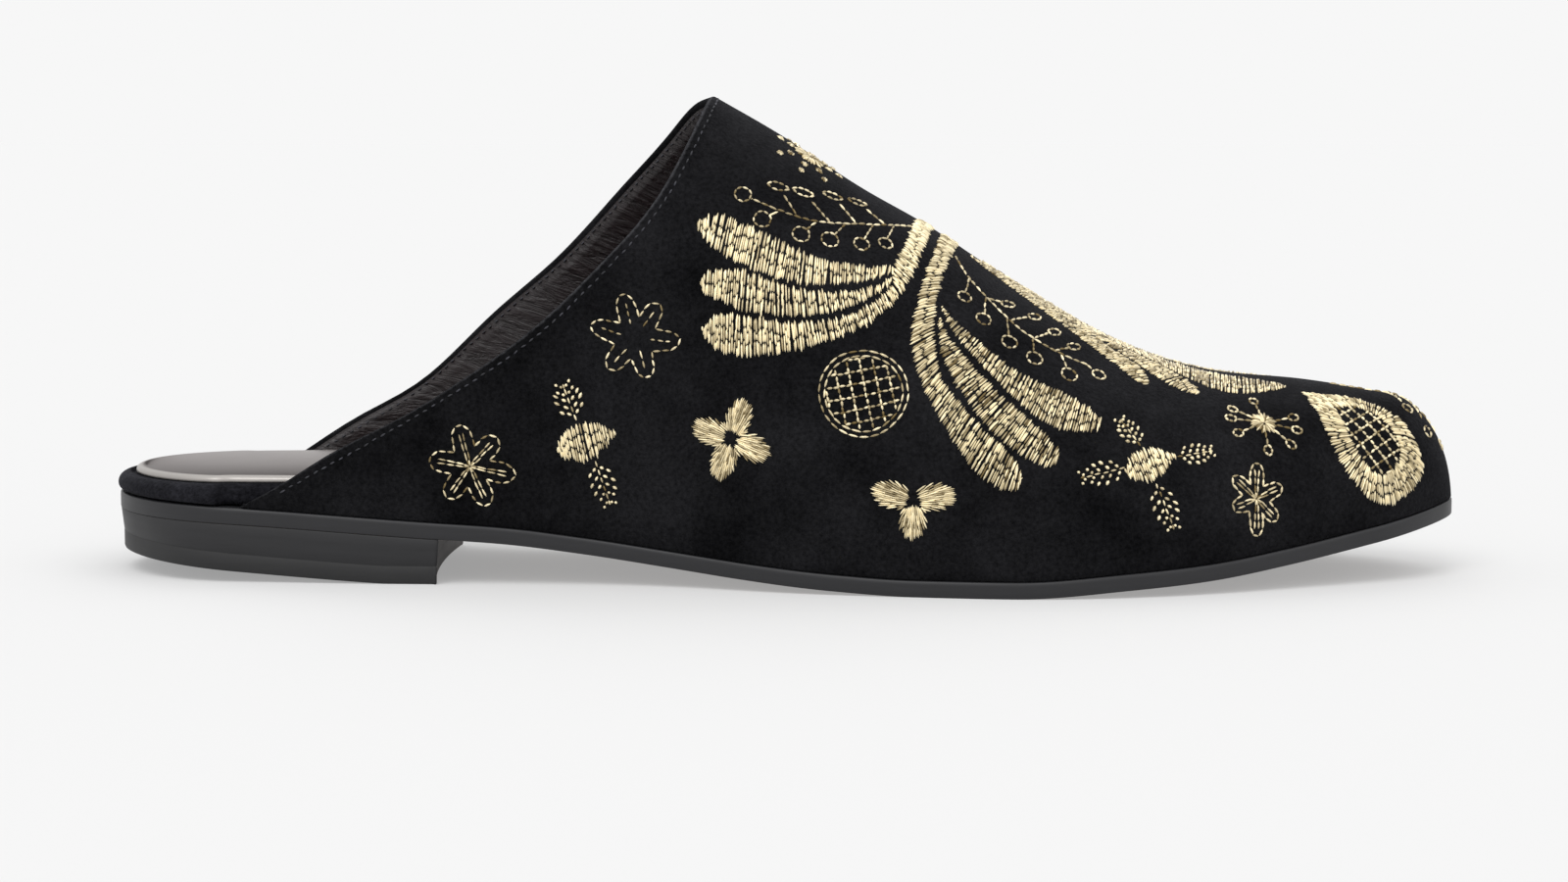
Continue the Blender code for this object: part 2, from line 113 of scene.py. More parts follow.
def fair(rows, at, **sizes):  # natural cubic spline, for faired lines
    x = rows["along"]
    y = sum(rows[name] * size for name, size in sizes.items())
    step = np.diff(x)
    matrix = np.eye(len(x))
    right = np.zeros(len(x))
    for i in range(1, len(x) - 1):
        matrix[i, i - 1 : i + 2] = step[i - 1], 2 * (step[i - 1] + step[i]), step[i]
        right[i] = 6 * ((y[i + 1] - y[i]) / step[i] - (y[i] - y[i - 1]) / step[i - 1])
    bend = np.linalg.solve(matrix, right)
    at = np.clip(at, x[0], x[-1])
    i = np.clip(np.searchsorted(x, at, side="right") - 1, 0, len(x) - 2)
    h = step[i]
    before, after = x[i + 1] - at, at - x[i]
    cubic = (bend[i] * before**3 + bend[i + 1] * after**3) / (6 * h)
    cubic += (y[i] / h - bend[i] * h / 6) * before
    return cubic + (y[i + 1] / h - bend[i + 1] * h / 6) * after


def level(rows, at, **sizes):  # monotone cubic, whose flats stay flat
    x = rows["along"]
    y = sum(rows[name] * size for name, size in sizes.items())
    step = np.diff(x)
    slope = np.diff(y) / step
    tangent = np.zeros_like(y)
    tangent[0], tangent[-1] = slope[0], slope[-1]
    for i in range(1, len(x) - 1):
        if slope[i - 1] * slope[i] > 0:
            before = 2 * step[i] + step[i - 1]
            after = step[i] + 2 * step[i - 1]
            tangent[i] = (before + after) / (before / slope[i - 1] + after / slope[i])
    at = np.clip(at, x[0], x[-1])
    i = np.clip(np.searchsorted(x, at, side="right") - 1, 0, len(x) - 2)
    t = (at - x[i]) / step[i]
    return (
        (1 + 2 * t) * (1 - t) ** 2 * y[i]
        + t * (1 - t) ** 2 * step[i] * tangent[i]
        + t**2 * (3 - 2 * t) * y[i + 1]
        - t**2 * (1 - t) * step[i] * tangent[i + 1]
    )


def ease(t):
    t = np.clip(t, 0, 1)
    return t * t * (3 - 2 * t)


def along(x):
    return x / last["length"] + 0.5


def quarterRound(distance, length):
    left = 1 - np.clip(distance / length, 0, 1)
    return np.sqrt(np.maximum(1 - left**2, 0))


def halfWidth(x, side):  # edge of the outsole from the heel-to-toe line
    lateral = fair(last["outline"], along(x), seat=last["seatHalf"], lateral=last["ballLateral"])
    medial = fair(last["outline"], along(x), seat=last["seatHalf"], medial=last["ballMedial"])
    full = np.where(side < 0, lateral, medial)
    back = quarterRound(x + halfLength, last["heelRounding"])
    return full * back * quarterRound(halfLength - x, last["toeRounding"])


def soleBottom(x):
    return level(last["soleLine"], along(x), heel=last["heelHeight"], toe=last["toeSpring"])


def soleTop(x):
    return soleBottom(x) + last["soleThick"]


def feather(x):  # lower edge of the upper
    return soleTop(x) + last["gap"]


upperEnd = halfLength - last["edgeInset"]


def ridge(x):
    top = fair(last["ridge"], along(x), instep=last["instep"], toe=last["toeHeight"])
    return (top - feather(x)) * quarterRound(upperEnd - x, last["toeFront"])


def upperPoint(x, angle, side):  # outer face; angle 0 at the sole and a right angle at the ridge
    share = along(x)
    power = 2 / fair(last["sections"], share, fullness=1)
    swellLateral = fair(last["sections"], share, swellLateral=last["ballLateral"])
    swellMedial = fair(last["sections"], share, swellMedial=last["ballMedial"])
    toe = quarterRound(upperEnd - x, last["toeRounding"])
    rise = np.sin(angle) ** power
    swell = np.where(side < 0, swellLateral, swellMedial) * toe * 6.75 * rise * (1 - rise) ** 2
    shift = fair(last["sections"], share, shift=last["ballMedial"]) * toe
    reach = np.maximum(halfWidth(x, side) - last["edgeInset"], 0) - side * shift
    reach = np.where(x >= upperEnd, 0, reach)
    across = np.maximum(np.cos(angle), 0) ** power
    y = shift + side * (reach * across + swell)
    return np.stack([x + 0 * angle, y + 0 * x, feather(x) + ridge(x) * rise], axis=-1)


def collarX(angle, side):  # where the collar's edge crosses a lengthwise line of the upper
    low = np.where(side < 0, last["collarLateral"], last["collarMedial"]) - halfLength
    high = np.full_like(low, last["throat"] - halfLength)
    first, length = low.copy(), high - low
    peak = ridge(high)
    for _ in range(44):
        middle = (low + high) / 2
        share = (middle - first) / length
        allowed = np.where(
            side < 0,
            fair(last["collar"], share, lateral=1) * peak,
            fair(last["collar"], share, medial=1) * peak,
        )
        above = upperPoint(middle, angle, side)[..., 2] - feather(middle) > allowed
        low, high = np.where(above, middle, low), np.where(above, high, middle)
    return (low + high) / 2


outsoleLow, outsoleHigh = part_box("outsole")
everyX = np.linspace(-halfLength, halfLength, 4001)
frameShift = np.array([
    outsoleHigh.x / mm - halfLength,
    outsoleLow.y / mm + halfWidth(everyX, -1).max(),
    0,
])


# Helpers for sheets, rings and materials
def unit(vectors):
    return vectors / np.maximum(np.linalg.norm(vectors, axis=-1, keepdims=True), 1e-9)


def surfaceNormals(grid):  # outward where the columns run medial to lateral and the rows to the toe
    across = np.gradient(grid, axis=1)
    down = np.gradient(grid, axis=0)
    return unit(np.cross(across, down))


def makeSheet(name, grid, uv=None):
    # a grid primitive, its vertices set from rows and columns of points in millimetres
    rows, columns = grid.shape[:2]
    bpy.ops.mesh.primitive_grid_add(x_subdivisions=columns - 1, y_subdivisions=rows - 1, size=1)
    piece = bpy.context.object
    piece.name = piece.data.name = name
    points = (grid + frameShift) * mm
    piece.data.vertices.foreach_set("co", points.reshape(-1))
    if uv is not None:
        loops = np.zeros(len(piece.data.loops), int)
        piece.data.loops.foreach_get("vertex_index", loops)
        piece.data.uv_layers[0].data.foreach_set("uv", uv.reshape(-1, 2)[loops].reshape(-1))
    piece.data.update()
    bpy.ops.object.mode_set(mode="EDIT")
    bpy.ops.mesh.select_all(action="SELECT")
    bpy.ops.mesh.remove_doubles(threshold=0.000004)
    bpy.ops.object.mode_set(mode="OBJECT")
    piece.data.shade_smooth()
    piece.select_set(False)
    return piece


def thicken(piece, thickness):  # a wall inward from the sheet
    bpy.context.view_layer.objects.active = piece
    wall = piece.modifiers.new("wall", "SOLIDIFY")
    wall.thickness = thickness * mm
    wall.offset = -1
    wall.use_even_offset = False
    bpy.ops.object.modifier_apply(modifier=wall.name)


def dress(piece, materials, replaced=None):
    piece.data.materials.clear()
    for material in materials if isinstance(materials, list) else [materials]:
        piece.data.materials.append(material)
    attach(piece, "root")
    if replaced:
        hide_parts(replaced)
    return piece


def linear(hexColour):  # sRGB hex to linear RGBA
    parts = [int(hexColour[i : i + 2], 16) / 255 for i in (1, 3, 5)]
    return (*[c / 12.92 if c <= 0.04045 else ((c + 0.055) / 1.055) ** 2.4 for c in parts], 1)


def setInputs(tree, node, inputs):
    for key, value in inputs.items():
        if isinstance(value, bpy.types.NodeSocket):
            tree.links.new(value, node.inputs[key])
        else:
            node.inputs[key].default_value = value


def addNode(tree, kind, inputs=None, out=0, **settings):  # gives one of its outputs
    made = tree.nodes.new("ShaderNode" + kind)
    for name, value in settings.items():
        setattr(made, name, value)
    setInputs(tree, made, inputs or {})
    return made.outputs[out]


def newMaterial(name):  # with a function that adds a node and one that sets the shader
    material = bpy.data.materials.new(name)
    material.use_nodes = True
    tree = material.node_tree
    shader = tree.nodes["Principled BSDF"]
    return material, partial(addNode, tree), lambda inputs: setInputs(tree, shader, inputs)


# Materials
def suedeMaterial(name, dark, light, napSize):
    # Suede: split calf hide buffed to a nap, dyed black. The eye sees no gloss, a soft
    # sheen at grazing angles, and faint cloudy patches where the nap lies another way.
    material, add, shade = newMaterial(name)
    place = add("TexCoord", out="Object")
    cloud = add("TexNoise", {"Vector": place, "Scale": 55, "Detail": 3, "Roughness": 0.55})
    nap = add(
        "TexNoise", {"Vector": place, "Scale": 1000 / napSize, "Detail": 4, "Roughness": 0.7}
    )
    blend = add("Math", {0: cloud, 1: nap}, operation="MULTIPLY")
    spread = add("MapRange", {"Value": blend, "From Min": 0.12, "From Max": 0.42})
    colour = add("Mix", {0: spread, 6: linear(dark), 7: linear(light)}, out=2, data_type="RGBA")
    # painted highlight: a paler grey along the collar's folded edge, broken into tufts by the nap
    collarHighlight = add("Attribute", out="Fac", attribute_name="collarHighlight")
    highlightTufts = add("Math", {0: collarHighlight, 1: nap}, operation="MULTIPLY")
    highlightShare = add("MapRange", {"Value": highlightTufts, "From Min": 0.2, "From Max": 0.6})
    paintedLightColour = add("Mix", {0: highlightShare, 6: colour, 7: linear("#414144")}, out=2, data_type="RGBA")
    bump = add("Bump", {"Height": nap, "Strength": 0.9, "Distance": 0.0004})
    shade({
        "Base Color": paintedLightColour, "Roughness": 0.92, "Specular IOR Level": 0.04,
        "Sheen Weight": 0.1, "Sheen Roughness": 0.4, "Sheen Tint": linear("#8a8a94"),
        "Normal": bump
    })
    return material


blackSuede = suedeMaterial("blackNappedSuede", "#050506", "#202022", 0.8)
rimSuede = suedeMaterial("blackRimSuede", "#060608", "#2c2c31", 0.9)


def liningMaterial():
    # Glazed goat lining leather, dyed dark plum and finished with a hard glaze: a sharp
    # but broken shine over fine grain. Its colour is painted lighter on the creases' crests
    # and darker in their hollows, a painted highlight and shade.
    material, add, shade = newMaterial("glazedPlumLining")
    grain = add("TexVoronoi", {"Vector": add("TexCoord", out="Object"), "Scale": 900}, feature="F1")
    turned = add("Mapping", {
        "Vector": add("TexCoord", out="UV"), "Scale": (0.55, 0.13, 1), "Rotation": (0, 0, 0.35)
    })
    wrinkle = add("TexNoise", {
        "Vector": turned, "Scale": 1.0, "Detail": 4, "Roughness": 0.65, "Distortion": 0.6
    })
    ends = {6: linear("#090506"), 7: linear("#211315")}
    # painted highlight and shade: the colour follows the wrinkles' height
    tone = add("Mix", {0: wrinkle, **ends}, out=2, data_type="RGBA")
    fine = add("Bump", {"Height": grain, "Strength": 0.25, "Distance": 0.0001})
    bump = add("Bump", {"Height": wrinkle, "Strength": 1.0, "Distance": 0.0015, "Normal": fine})
    shade({
        "Base Color": tone, "Roughness": 0.42, "Specular IOR Level": 0.35,
        "Coat Weight": 0.22, "Coat Roughness": 0.2, "Normal": bump
    })
    return material


plumLining = liningMaterial()


def pewterMaterial():
    # Pewter sock leather: sheep nappa with a pearl finish and a light foam pad behind
    # it. Satin, with a soft metallic bloom and hardly any grain.
    material, add, shade = newMaterial("pearlPewterNappa")
    place = add("TexCoord", out="Object")
    cloud = add("TexNoise", {"Vector": place, "Scale": 38, "Detail": 3, "Roughness": 0.5})
    pores = add("TexVoronoi", {"Vector": place, "Scale": 1100})
    ends = {6: linear("#6d6867"), 7: linear("#8b8684")}
    colour = add("Mix", {0: cloud, **ends}, out=2, data_type="RGBA")
    # painted shade: darker towards the outer side, a little less at the heel's back, for the dark
    # upper reflected in the seat; the finish there is also duller and less metallic
    forward, sideways = [add("SeparateXYZ", {"Vector": place}, axis) for axis in "XY"]
    ahead = add("MapRange", {"Value": forward, "From Min": -0.12, "From Max": -0.07, "To Min": 0.7})
    outer = add("MapRange", {
        "Value": sideways, "From Min": -0.019, "From Max": 0.026, "To Min": 1.0, "To Max": 0.0
    })
    folded = add("Attribute", out="Fac", attribute_name="folded")
    flat = add("Math", {0: 1.0, 1: folded}, operation="SUBTRACT")
    paintedShadeBand = add("Math", {0: ahead, 1: outer}, operation="MULTIPLY")
    paintedShadeBand = add("Math", {0: paintedShadeBand, 1: flat}, operation="MULTIPLY")
    paintedLightColour = add("Mix", {0: paintedShadeBand, 6: colour, 7: linear("#332d2b")}, out=2, data_type="RGBA")
    # painted highlight: the turned-down edge is set to a pale grey
    paintedLightColour = add("Mix", {0: flat, 6: linear("#a39f9b"), 7: paintedLightColour}, out=2, data_type="RGBA")
    dull = add("MapRange", {"Value": paintedShadeBand, "To Min": 0.4, "To Max": 0.95})
    pearl = add("MapRange", {"Value": paintedShadeBand, "To Min": 0.55, "To Max": 0.0})
    bump = add("Bump", {"Height": pores, "Strength": 0.15, "Distance": 0.0001})
    shade({
        "Base Color": paintedLightColour, "Metallic": pearl, "Roughness": dull, "Specular IOR Level": 0.2,
        "Normal": bump
    })
    return material


pewterLeather = pewterMaterial()


def edgeMaterial(name, dark, light, roughness):
    # Sole leather edge, inked black and burnished with wax: a satin shine with faint
    # lengthwise streaks of the fibres.
    material, add, shade = newMaterial(name)
    place = add("TexCoord", out="Object")
    streaks = add("Mapping", {"Vector": place, "Scale": (120, 120, 1400)})
    fibre = add("TexNoise", {"Vector": streaks, "Scale": 1, "Detail": 3})
    wear = add("TexNoise", {"Vector": place, "Scale": 90, "Detail": 4, "Roughness": 0.6})
    colour = add("Mix", {0: fibre, 6: linear(dark), 7: linear(light)}, out=2, data_type="RGBA")
    gloss = add("MapRange", {"Value": wear, "To Min": roughness - 0.08, "To Max": roughness + 0.12})
    bump = add("Bump", {"Height": fibre, "Strength": 0.25, "Distance": 0.0001})
    shade({"Base Color": colour, "Roughness": gloss, "Normal": bump})
    return material


inkedEdge = edgeMaterial("inkedSoleEdge", "#0f0f12", "#19191d", 0.46)
heelSide = edgeMaterial("waxedHeelSide", "#111113", "#1b1b1e", 0.5)
topPieceEdge = edgeMaterial("inkedTopPiece", "#0f0f11", "#181819", 0.55)
breastLeather = edgeMaterial("rawBreastLeather", "#1d1715", "#332b28", 0.62)


def undersideMaterial(name, dark, light):
    # Leather sole, sanded and finished matt: pale brown-grey fibres, no gloss.
    material, add, shade = newMaterial(name)
    place = add("TexCoord", out="Object")
    scuff = add("Mapping", {"Vector": place, "Scale": (60, 400, 60)})
    marks = add("TexNoise", {"Vector": scuff, "Scale": 1, "Detail": 5})
    fine = add("TexNoise", {"Vector": place, "Scale": 1500, "Detail": 2})
    colour = add("Mix", {0: marks, 6: linear(dark), 7: linear(light)}, out=2, data_type="RGBA")
    bump = add("Bump", {"Height": fine, "Strength": 0.3, "Distance": 0.0001})
    shade({"Base Color": colour, "Roughness": 0.68, "Normal": bump})
    return material


soleUnderside = undersideMaterial("sandedSoleLeather", "#5a4d43", "#6d5e52")
topPieceTread = undersideMaterial("ribbedTopPieceRubber", "#18181a", "#222225")


def threadMaterial(name, dark, light, metallic, roughness):
    # Embroidery thread: a polyester core wound with a flat metallised ribbon. Each
    # stitch's glint is painted into its own colour, from pale cream to brassy tan, with
    # painted shade along it from the twist.
    material, add, shade = newMaterial(name)
    tint = add("Attribute", out="Fac", attribute_name="tint")
    place = add("TexCoord", out="Object")
    twist = add("TexNoise", {"Vector": place, "Scale": 1400, "Detail": 2})
    mixed = add("Math", {0: twist, 1: 0.5, 2: tint}, operation="MULTIPLY_ADD")
    spread = add("MapRange", {"Value": mixed, "From Min": 0.3, "From Max": 1.2})
    colour = add("Mix", {0: spread, 6: linear(dark), 7: linear(light)}, out=2, data_type="RGBA")
    bump = add("Bump", {"Height": twist, "Strength": 0.4, "Distance": 0.0001})
    shade({"Base Color": colour, "Metallic": metallic, "Roughness": roughness, "Normal": bump})
    return material


goldThread = threadMaterial("metallisedGoldThread", "#6e5c34", "#fff0c8", 0.45, 0.36)
darkThread = threadMaterial("charcoalSewingThread", "#1d1d22", "#34343c", 0.0, 0.6)
print("materials made")

# Upper: suede sheet, folded at the collar and lasted under at the sole
suede = {
    "rows": 150,
    "columns": 150,
    "fold": 0.85,  # radius of the folded collar edge
    "turnIn": 1.0,  # suede turned in behind the collar
    "thickness": 0.7,
    # drawn in and down under the sole's edge
    "under": [(0.12, 0.16), (0.45, 0.27), (1.2, 0.28), (3.0, 0.28)],
    "columnSpread": 0.92,  # below 1, columns gather at the ridge's two sides
    "rowSpread": 1.8,  # above 1, rows gather at the toe
    "probe": 0.5,  # step along the last for the edge's directions
}


def upperColumns(count):
    w = np.linspace(1, -1, count)
    w = np.sign(w) * np.abs(w) ** suede["columnSpread"]
    side = np.where(w < 0, -1, 1)
    return (1 - np.abs(w)) * math.pi / 2, side


def outerSurface(rows, angles, sides, starts):
    shares = 1 - (1 - rows) ** suede["rowSpread"]
    x = starts[None, :] + (upperEnd - starts[None, :]) * shares[:, None]
    return upperPoint(x, np.broadcast_to(angles, x.shape), np.broadcast_to(sides, x.shape))


angles, sides = upperColumns(suede["columns"])
starts = collarX(angles, sides)
edge = upperPoint(starts, angles, sides)
edgeTangent = unit(np.gradient(edge, axis=0))
aheadOfEdge = upperPoint(starts + suede["probe"], angles, sides) - edge
stepAhead = unit(aheadOfEdge)
edgeNormal = unit(np.cross(edgeTangent, stepAhead))
edgeInward = np.cross(edgeNormal, edgeTangent)
lean = np.maximum(np.abs((stepAhead * edgeInward).sum(-1)), 0.25)
xPerStep = suede["probe"] / np.linalg.norm(aheadOfEdge, axis=-1)


def awayFromEdge(distance):  # points of the outer surface that far inside the collar's edge
    return upperPoint(starts + distance * xPerStep / lean, angles, sides)


def edgeFrame(points):
    tangent = unit(np.gradient(points, axis=0))
    return unit(np.cross(tangent, edgeInward))


def foldedCollar(radius, turnIn):
    rows = []
    for distance in np.linspace(turnIn, 0.4, 4):
        points = awayFromEdge(radius + distance)
        rows.append(points - edgeFrame(points) * 2 * radius)
    base = awayFromEdge(radius)
    normal = edgeFrame(base)
    centre = base - normal * radius
    inward = unit(base - edge - ((base - edge) * normal).sum(-1, keepdims=True) * normal)
    for turn in np.linspace(math.pi, 0, 9)[:-1]:
        rows.append(centre + radius * (normal * math.cos(turn) - inward * math.sin(turn)))
    return rows, base


foldRows, foldBase = foldedCollar(suede["fold"], suede["turnIn"])
bodyStarts = foldBase[:, 0]
rowShares = np.linspace(0, 1, suede["rows"] + 1)
body = outerSurface(rowShares, angles, sides, bodyStarts)
suedeGrid = np.concatenate([np.array(foldRows), body], axis=0)
suedeGrid[-1] = suedeGrid[-1, len(angles) // 2]


def outlineDirection(points, side):  # plan direction out of the shoe at its lower edge
    tangent = np.gradient(points[:, :2], axis=0)
    out = np.stack([-tangent[:, 1], tangent[:, 0]], axis=-1) * side
    out[-1] = (1, 0)
    return np.concatenate([unit(out), np.zeros((len(points), 1))], axis=1)


def lastedUnder(grid):  # adds columns that turn in under both lower edges
    extra = []
    for column, side in ((0, 1), (-1, -1)):
        line = grid[:, column]
        out = outlineDirection(line, side)
        out[: len(foldRows)] = out[len(foldRows) + 1]
        strip = []
        for inset, drop in suede["under"]:
            strip.append(line - out * inset - np.array([0, 0, drop]))
        extra.append(strip)
    medial = np.stack(extra[0][::-1], axis=1)
    lateral = np.stack(extra[1], axis=1)
    return np.concatenate([medial, grid, lateral], axis=1)


def toLine(at, line):  # distance from each point to a line of points
    finer = np.arange(0, len(line) - 1, 0.2)
    fine = np.stack([np.interp(finer, np.arange(len(line)), line[:, k]) for k in range(3)], -1)
    # in parts, to keep the table of distances small
    parts = np.array_split(at, 60)
    squares = [((part[:, None] - fine[None]) ** 2).sum(-1).min(axis=1) for part in parts]
    return np.sqrt(np.concatenate(squares))


def addMask(piece, name, shade):  # a shade from 0 to 1 at each vertex, from its place on the last
    at = np.zeros(len(piece.data.vertices) * 3)
    piece.data.vertices.foreach_get("co", at)
    values = np.clip(shade(at.reshape(-1, 3) / mm - frameShift), 0, 1)
    piece.data.attributes.new(name, "FLOAT", "POINT").data.foreach_set("value", values)


suedeGrid[..., 2] = np.maximum(suedeGrid[..., 2], feather(suedeGrid[..., 0]))
upperSuede = makeSheet("upperSuede", lastedUnder(suedeGrid))
thicken(upperSuede, suede["thickness"])
dress(upperSuede, blackSuede, "upper")
# painted highlight along the collar's edge, fading out within a millimetre of it
addMask(upperSuede, "collarHighlight", lambda at: 1 - (toLine(at, edge) - 0.3) / 0.7)
print("upper suede", len(upperSuede.data.polygons))

# Lining: a skin inside the suede, glued to it, from just inside the collar's edge
lining = {
    "rows": 130,
    "columns": 130,
    "from": 1.2,  # where it starts inside the collar's edge
    "toeShare": 0.985,  # and the share of the way to the toe where it ends
    "depth": 1.25,
    "thickness": 0.6,
}
liningAngles, liningSides = upperColumns(lining["columns"])
liningStarts = np.interp(
    np.linspace(0, 1, lining["columns"]),
    np.linspace(0, 1, len(angles)),
    awayFromEdge(lining["from"])[:, 0],
)
rowsInside = np.linspace(0, lining["toeShare"], lining["rows"] + 1)
liningOuter = outerSurface(rowsInside, liningAngles, liningSides, liningStarts)
liningNormals = surfaceNormals(liningOuter)
liningNormals[:, [0, -1], 2] = 0
liningGrid = liningOuter - unit(liningNormals) * lining["depth"]
# its map is in millimetres, round the foot and along it
aroundFoot = np.linspace(0, 200, lining["columns"])
alongFoot = np.linspace(0, 220, lining["rows"] + 1)
liningUv = np.stack(np.meshgrid(aroundFoot, alongFoot), axis=-1)
upperLining = makeSheet("upperLining", liningGrid, liningUv)
thicken(upperLining, lining["thickness"])
dress(upperLining, plumLining, "upper")
print("lining", len(upperLining.data.polygons))


# Sole, heel, footbed and sock: rings round the outline
def outlineLoop(count):
    # stations from the heel along the lateral side to the toe and back along the medial side
    x = -halfLength * np.cos(np.linspace(0, math.pi, count + 1))
    loop = np.concatenate([planLine(x, -1), planLine(x, 1)[::-1][1:]], axis=0)
    side = np.concatenate([np.full(count + 1, -1), np.full(count, 1)])
    return loop, side


def planLine(x, side):
    return np.stack([x, side * halfWidth(x, side)], axis=-1)


def loopNormals(loop):
    ahead = np.roll(loop[:-1], -1, axis=0)
    behind = np.roll(loop[:-1], 1, axis=0)
    tangent = ahead - behind
    out = unit(np.stack([tangent[:, 1], -tangent[:, 0]], axis=-1))
    return np.concatenate([out, out[:1]], axis=0)


def ringGrid(loop, side, rings):
    # rings from the underside round the edge to the top: inset and height by x and side
    out = loopNormals(loop)
    rows = []
    for inset, height in rings:
        depth = inset(loop[:, 0], side) if callable(inset) else np.full(len(loop), inset)
        plan = loop - out * depth[:, None]
        z = height(plan[:, 0])
        rows.append(np.concatenate([plan, z[:, None]], axis=1))
    return np.array(rows)


def capRows(row, height, bow, count):
    # rows that close a ring over its lengthwise middle line
    made = []
    for share in np.linspace(0, 1, count + 1)[1:]:
        y = row[:, 1] * (1 - share)
        bowed = bow(row[:, 0]) * (1 - (1 - share) ** 2)
        made.append(np.stack([row[:, 0], y, height(row[:, 0]) + bowed], axis=-1))
    return made


def flat(x):
    return 0 * x


def ringPiece(name, stations, rings, below, above):  # rings closed by caps below and above
    loop, side = outlineLoop(stations)
    grid = ringGrid(loop, side, rings)
    under, over = capRows(grid[0], *below)[::-1], capRows(grid[-1], *above)
    return makeSheet(name, np.concatenate([under, grid, over], axis=0)), grid


outsole = {
    "stations": 170,
    "edgeRound": 0.22,
    "roundTurns": (0, 0.5, 1.05, 1.57),
    "side": 1.3,  # a ring above the tread, on the flat of the edge
    "shoulder": [(0, 0.9), (0.03, 0.3), (0.3, 0.04), (1.4, 0)],  # inset, and depth below the top
}
r = outsole["edgeRound"]
rings = [
    (r * (1 - math.sin(a)), lambda x, a=a: soleBottom(x) + r * (1 - math.cos(a)))
    for a in outsole["roundTurns"]
]
rings += [(0, lambda x: soleBottom(x) + outsole["side"])]
rings += [(inset, lambda x, d=depth: soleTop(x) - d) for inset, depth in outsole["shoulder"]]
below, above = (soleBottom, flat, 8), (soleTop, flat, 3)
outsolePiece, _ = ringPiece("outsoleLeather", outsole["stations"], rings, below, above)
dress(outsolePiece, [inkedEdge, soleUnderside], "outsole")
for face in outsolePiece.data.polygons:
    if face.normal.z < -0.8:
        face.material_index = 1
print("outsole", len(outsolePiece.data.polygons))

# footbed rim: suede drawn round the insole board, its roll tucked in over the sole
footbed = {
    "stations": 260,
    "thickness": 5.6,
    "overhang": 0.4,
    "lift": 0.05,
    "tuck": 1.3,  # the roll's lower corner, inward and up
    "tuckRise": 1.2,
    "rimRadius": 2.3,
    "rimDrop": 0.9,  # the rim's drop as a share of its radius
    "cup": 0.8,  # how far the seat is hollowed
    "step": 3.5,
    "upperWall": 1.8,
}


def footbedTop(x):
    return feather(x) + fair(last["footbed"], along(x), thickness=footbed["thickness"])


def seatCup(x):
    return -footbed["cup"] * (1 - ease((along(x) - 0.25) / 0.25))


def underUpper(x, side):
    start = np.where(side < 0, last["collarLateral"], last["collarMedial"]) - halfLength
    start = start - footbed["step"] - footbed["upperWall"]
    depth = last["edgeInset"] + footbed["upperWall"] + last["gap"] + footbed["overhang"]
    return depth * ease((x - start) / footbed["step"])


def rimInset(extra):
    return lambda x, side: extra - footbed["overhang"] + underUpper(x, side)


def footbedBase(x):
    return feather(x) + footbed["lift"]


tuck, rise = footbed["tuck"], footbed["tuckRise"]
radius, drop = footbed["rimRadius"], footbed["rimRadius"] * footbed["rimDrop"]
rings = [(rimInset(tuck + rise), footbedBase)]
for a in np.linspace(0, math.pi / 2, 6):
    inset = rimInset(tuck * (1 - math.sin(a)))
    rings.append((inset, lambda x, a=a: feather(x) + rise * (1 - math.cos(a))))
for a in np.linspace(0, math.pi / 2, 8):
    inset = rimInset(radius * (1 - math.cos(a)))
    rings.append((inset, lambda x, a=a: footbedTop(x) - drop * (1 - math.sin(a))))
below, above = (footbedBase, flat, 2), (footbedTop, seatCup, 6)
footbedWrap, _ = ringPiece("footbedWrap", footbed["stations"], rings, below, above)
dress(footbedWrap, rimSuede, "footbed")
print("footbed", len(footbedWrap.data.polygons))

# sock: thin foam pad under pewter leather, its edge turned down on the rim
sock = {
    "stations": 200,
    "thickness": 1.1,
    "lift": 0.3,
    "margin": 3.6,
    "follow": 0.4,  # how much of the footbed's narrowing under the upper it takes
    "base": 0.05,
    "edge": 0.4,  # height where its turned edge begins
    "round": 1.5,
}


def sockInset(extra):
    inset = sock["margin"] - footbed["overhang"] + extra
    return lambda x, side: inset + sock["follow"] * underUpper(x, side)


def sockHeight(height):
    return lambda x: footbedTop(x) + height


top = sock["lift"] + sock["thickness"]
rings = [(sockInset(0.5), sockHeight(sock["base"])), (sockInset(0), sockHeight(2 * sock["base"]))]
for a in np.linspace(0, math.pi / 2, 6):
    height = sock["edge"] + (top - sock["edge"]) * math.sin(a)
    rings.append((sockInset(sock["round"] * (1 - math.cos(a))), sockHeight(height)))
below, above = (sockHeight(sock["base"]), seatCup, 5), (sockHeight(top), seatCup, 12)
sockPad, grid = ringPiece("sockPad", sock["stations"], rings, below, above)
dress(sockPad, pewterLeather, "sock")
foldLine = np.vstack([grid[4], grid[4][:1]])
# painted highlight along the sock's turned edge
addMask(sockPad, "folded", lambda at: 1 - (toLine(at, foldLine) - 0.6) / 0.5)
print("sock", len(sockPad.data.polygons))

# heel: low stacked block with a hollow breast and its top piece
heel = {
    "length": 67.7,
    "skew": 2.2,
    "hollow": 1.5,
    "taper": 0.6,
    "flat": 11.0,
    "rocker": 4.3,
    "topPiece": 3.6,
    "stations": 90,
    # rings as inset and height: above the tread, above the top piece, and by share of the rest
    "low": [(0.45, 0), (0.12, 0.12), (0, 0.45), (0, 1.5)],
    "seam": [(0, -0.25), (0.12, -0.08), (0.12, 0.02), (-0.02, 0.2)],
    "high": (0.35, 0.65, 0.96),
    "highInset": 0.08,
    "lastInset": 0.25,
}


def heelTread(x):
    start = heel["length"] - heel["flat"] - halfLength
    return heel["rocker"] * np.clip((start - x) / (heel["length"] - heel["flat"]), 0, 1) ** 1.12


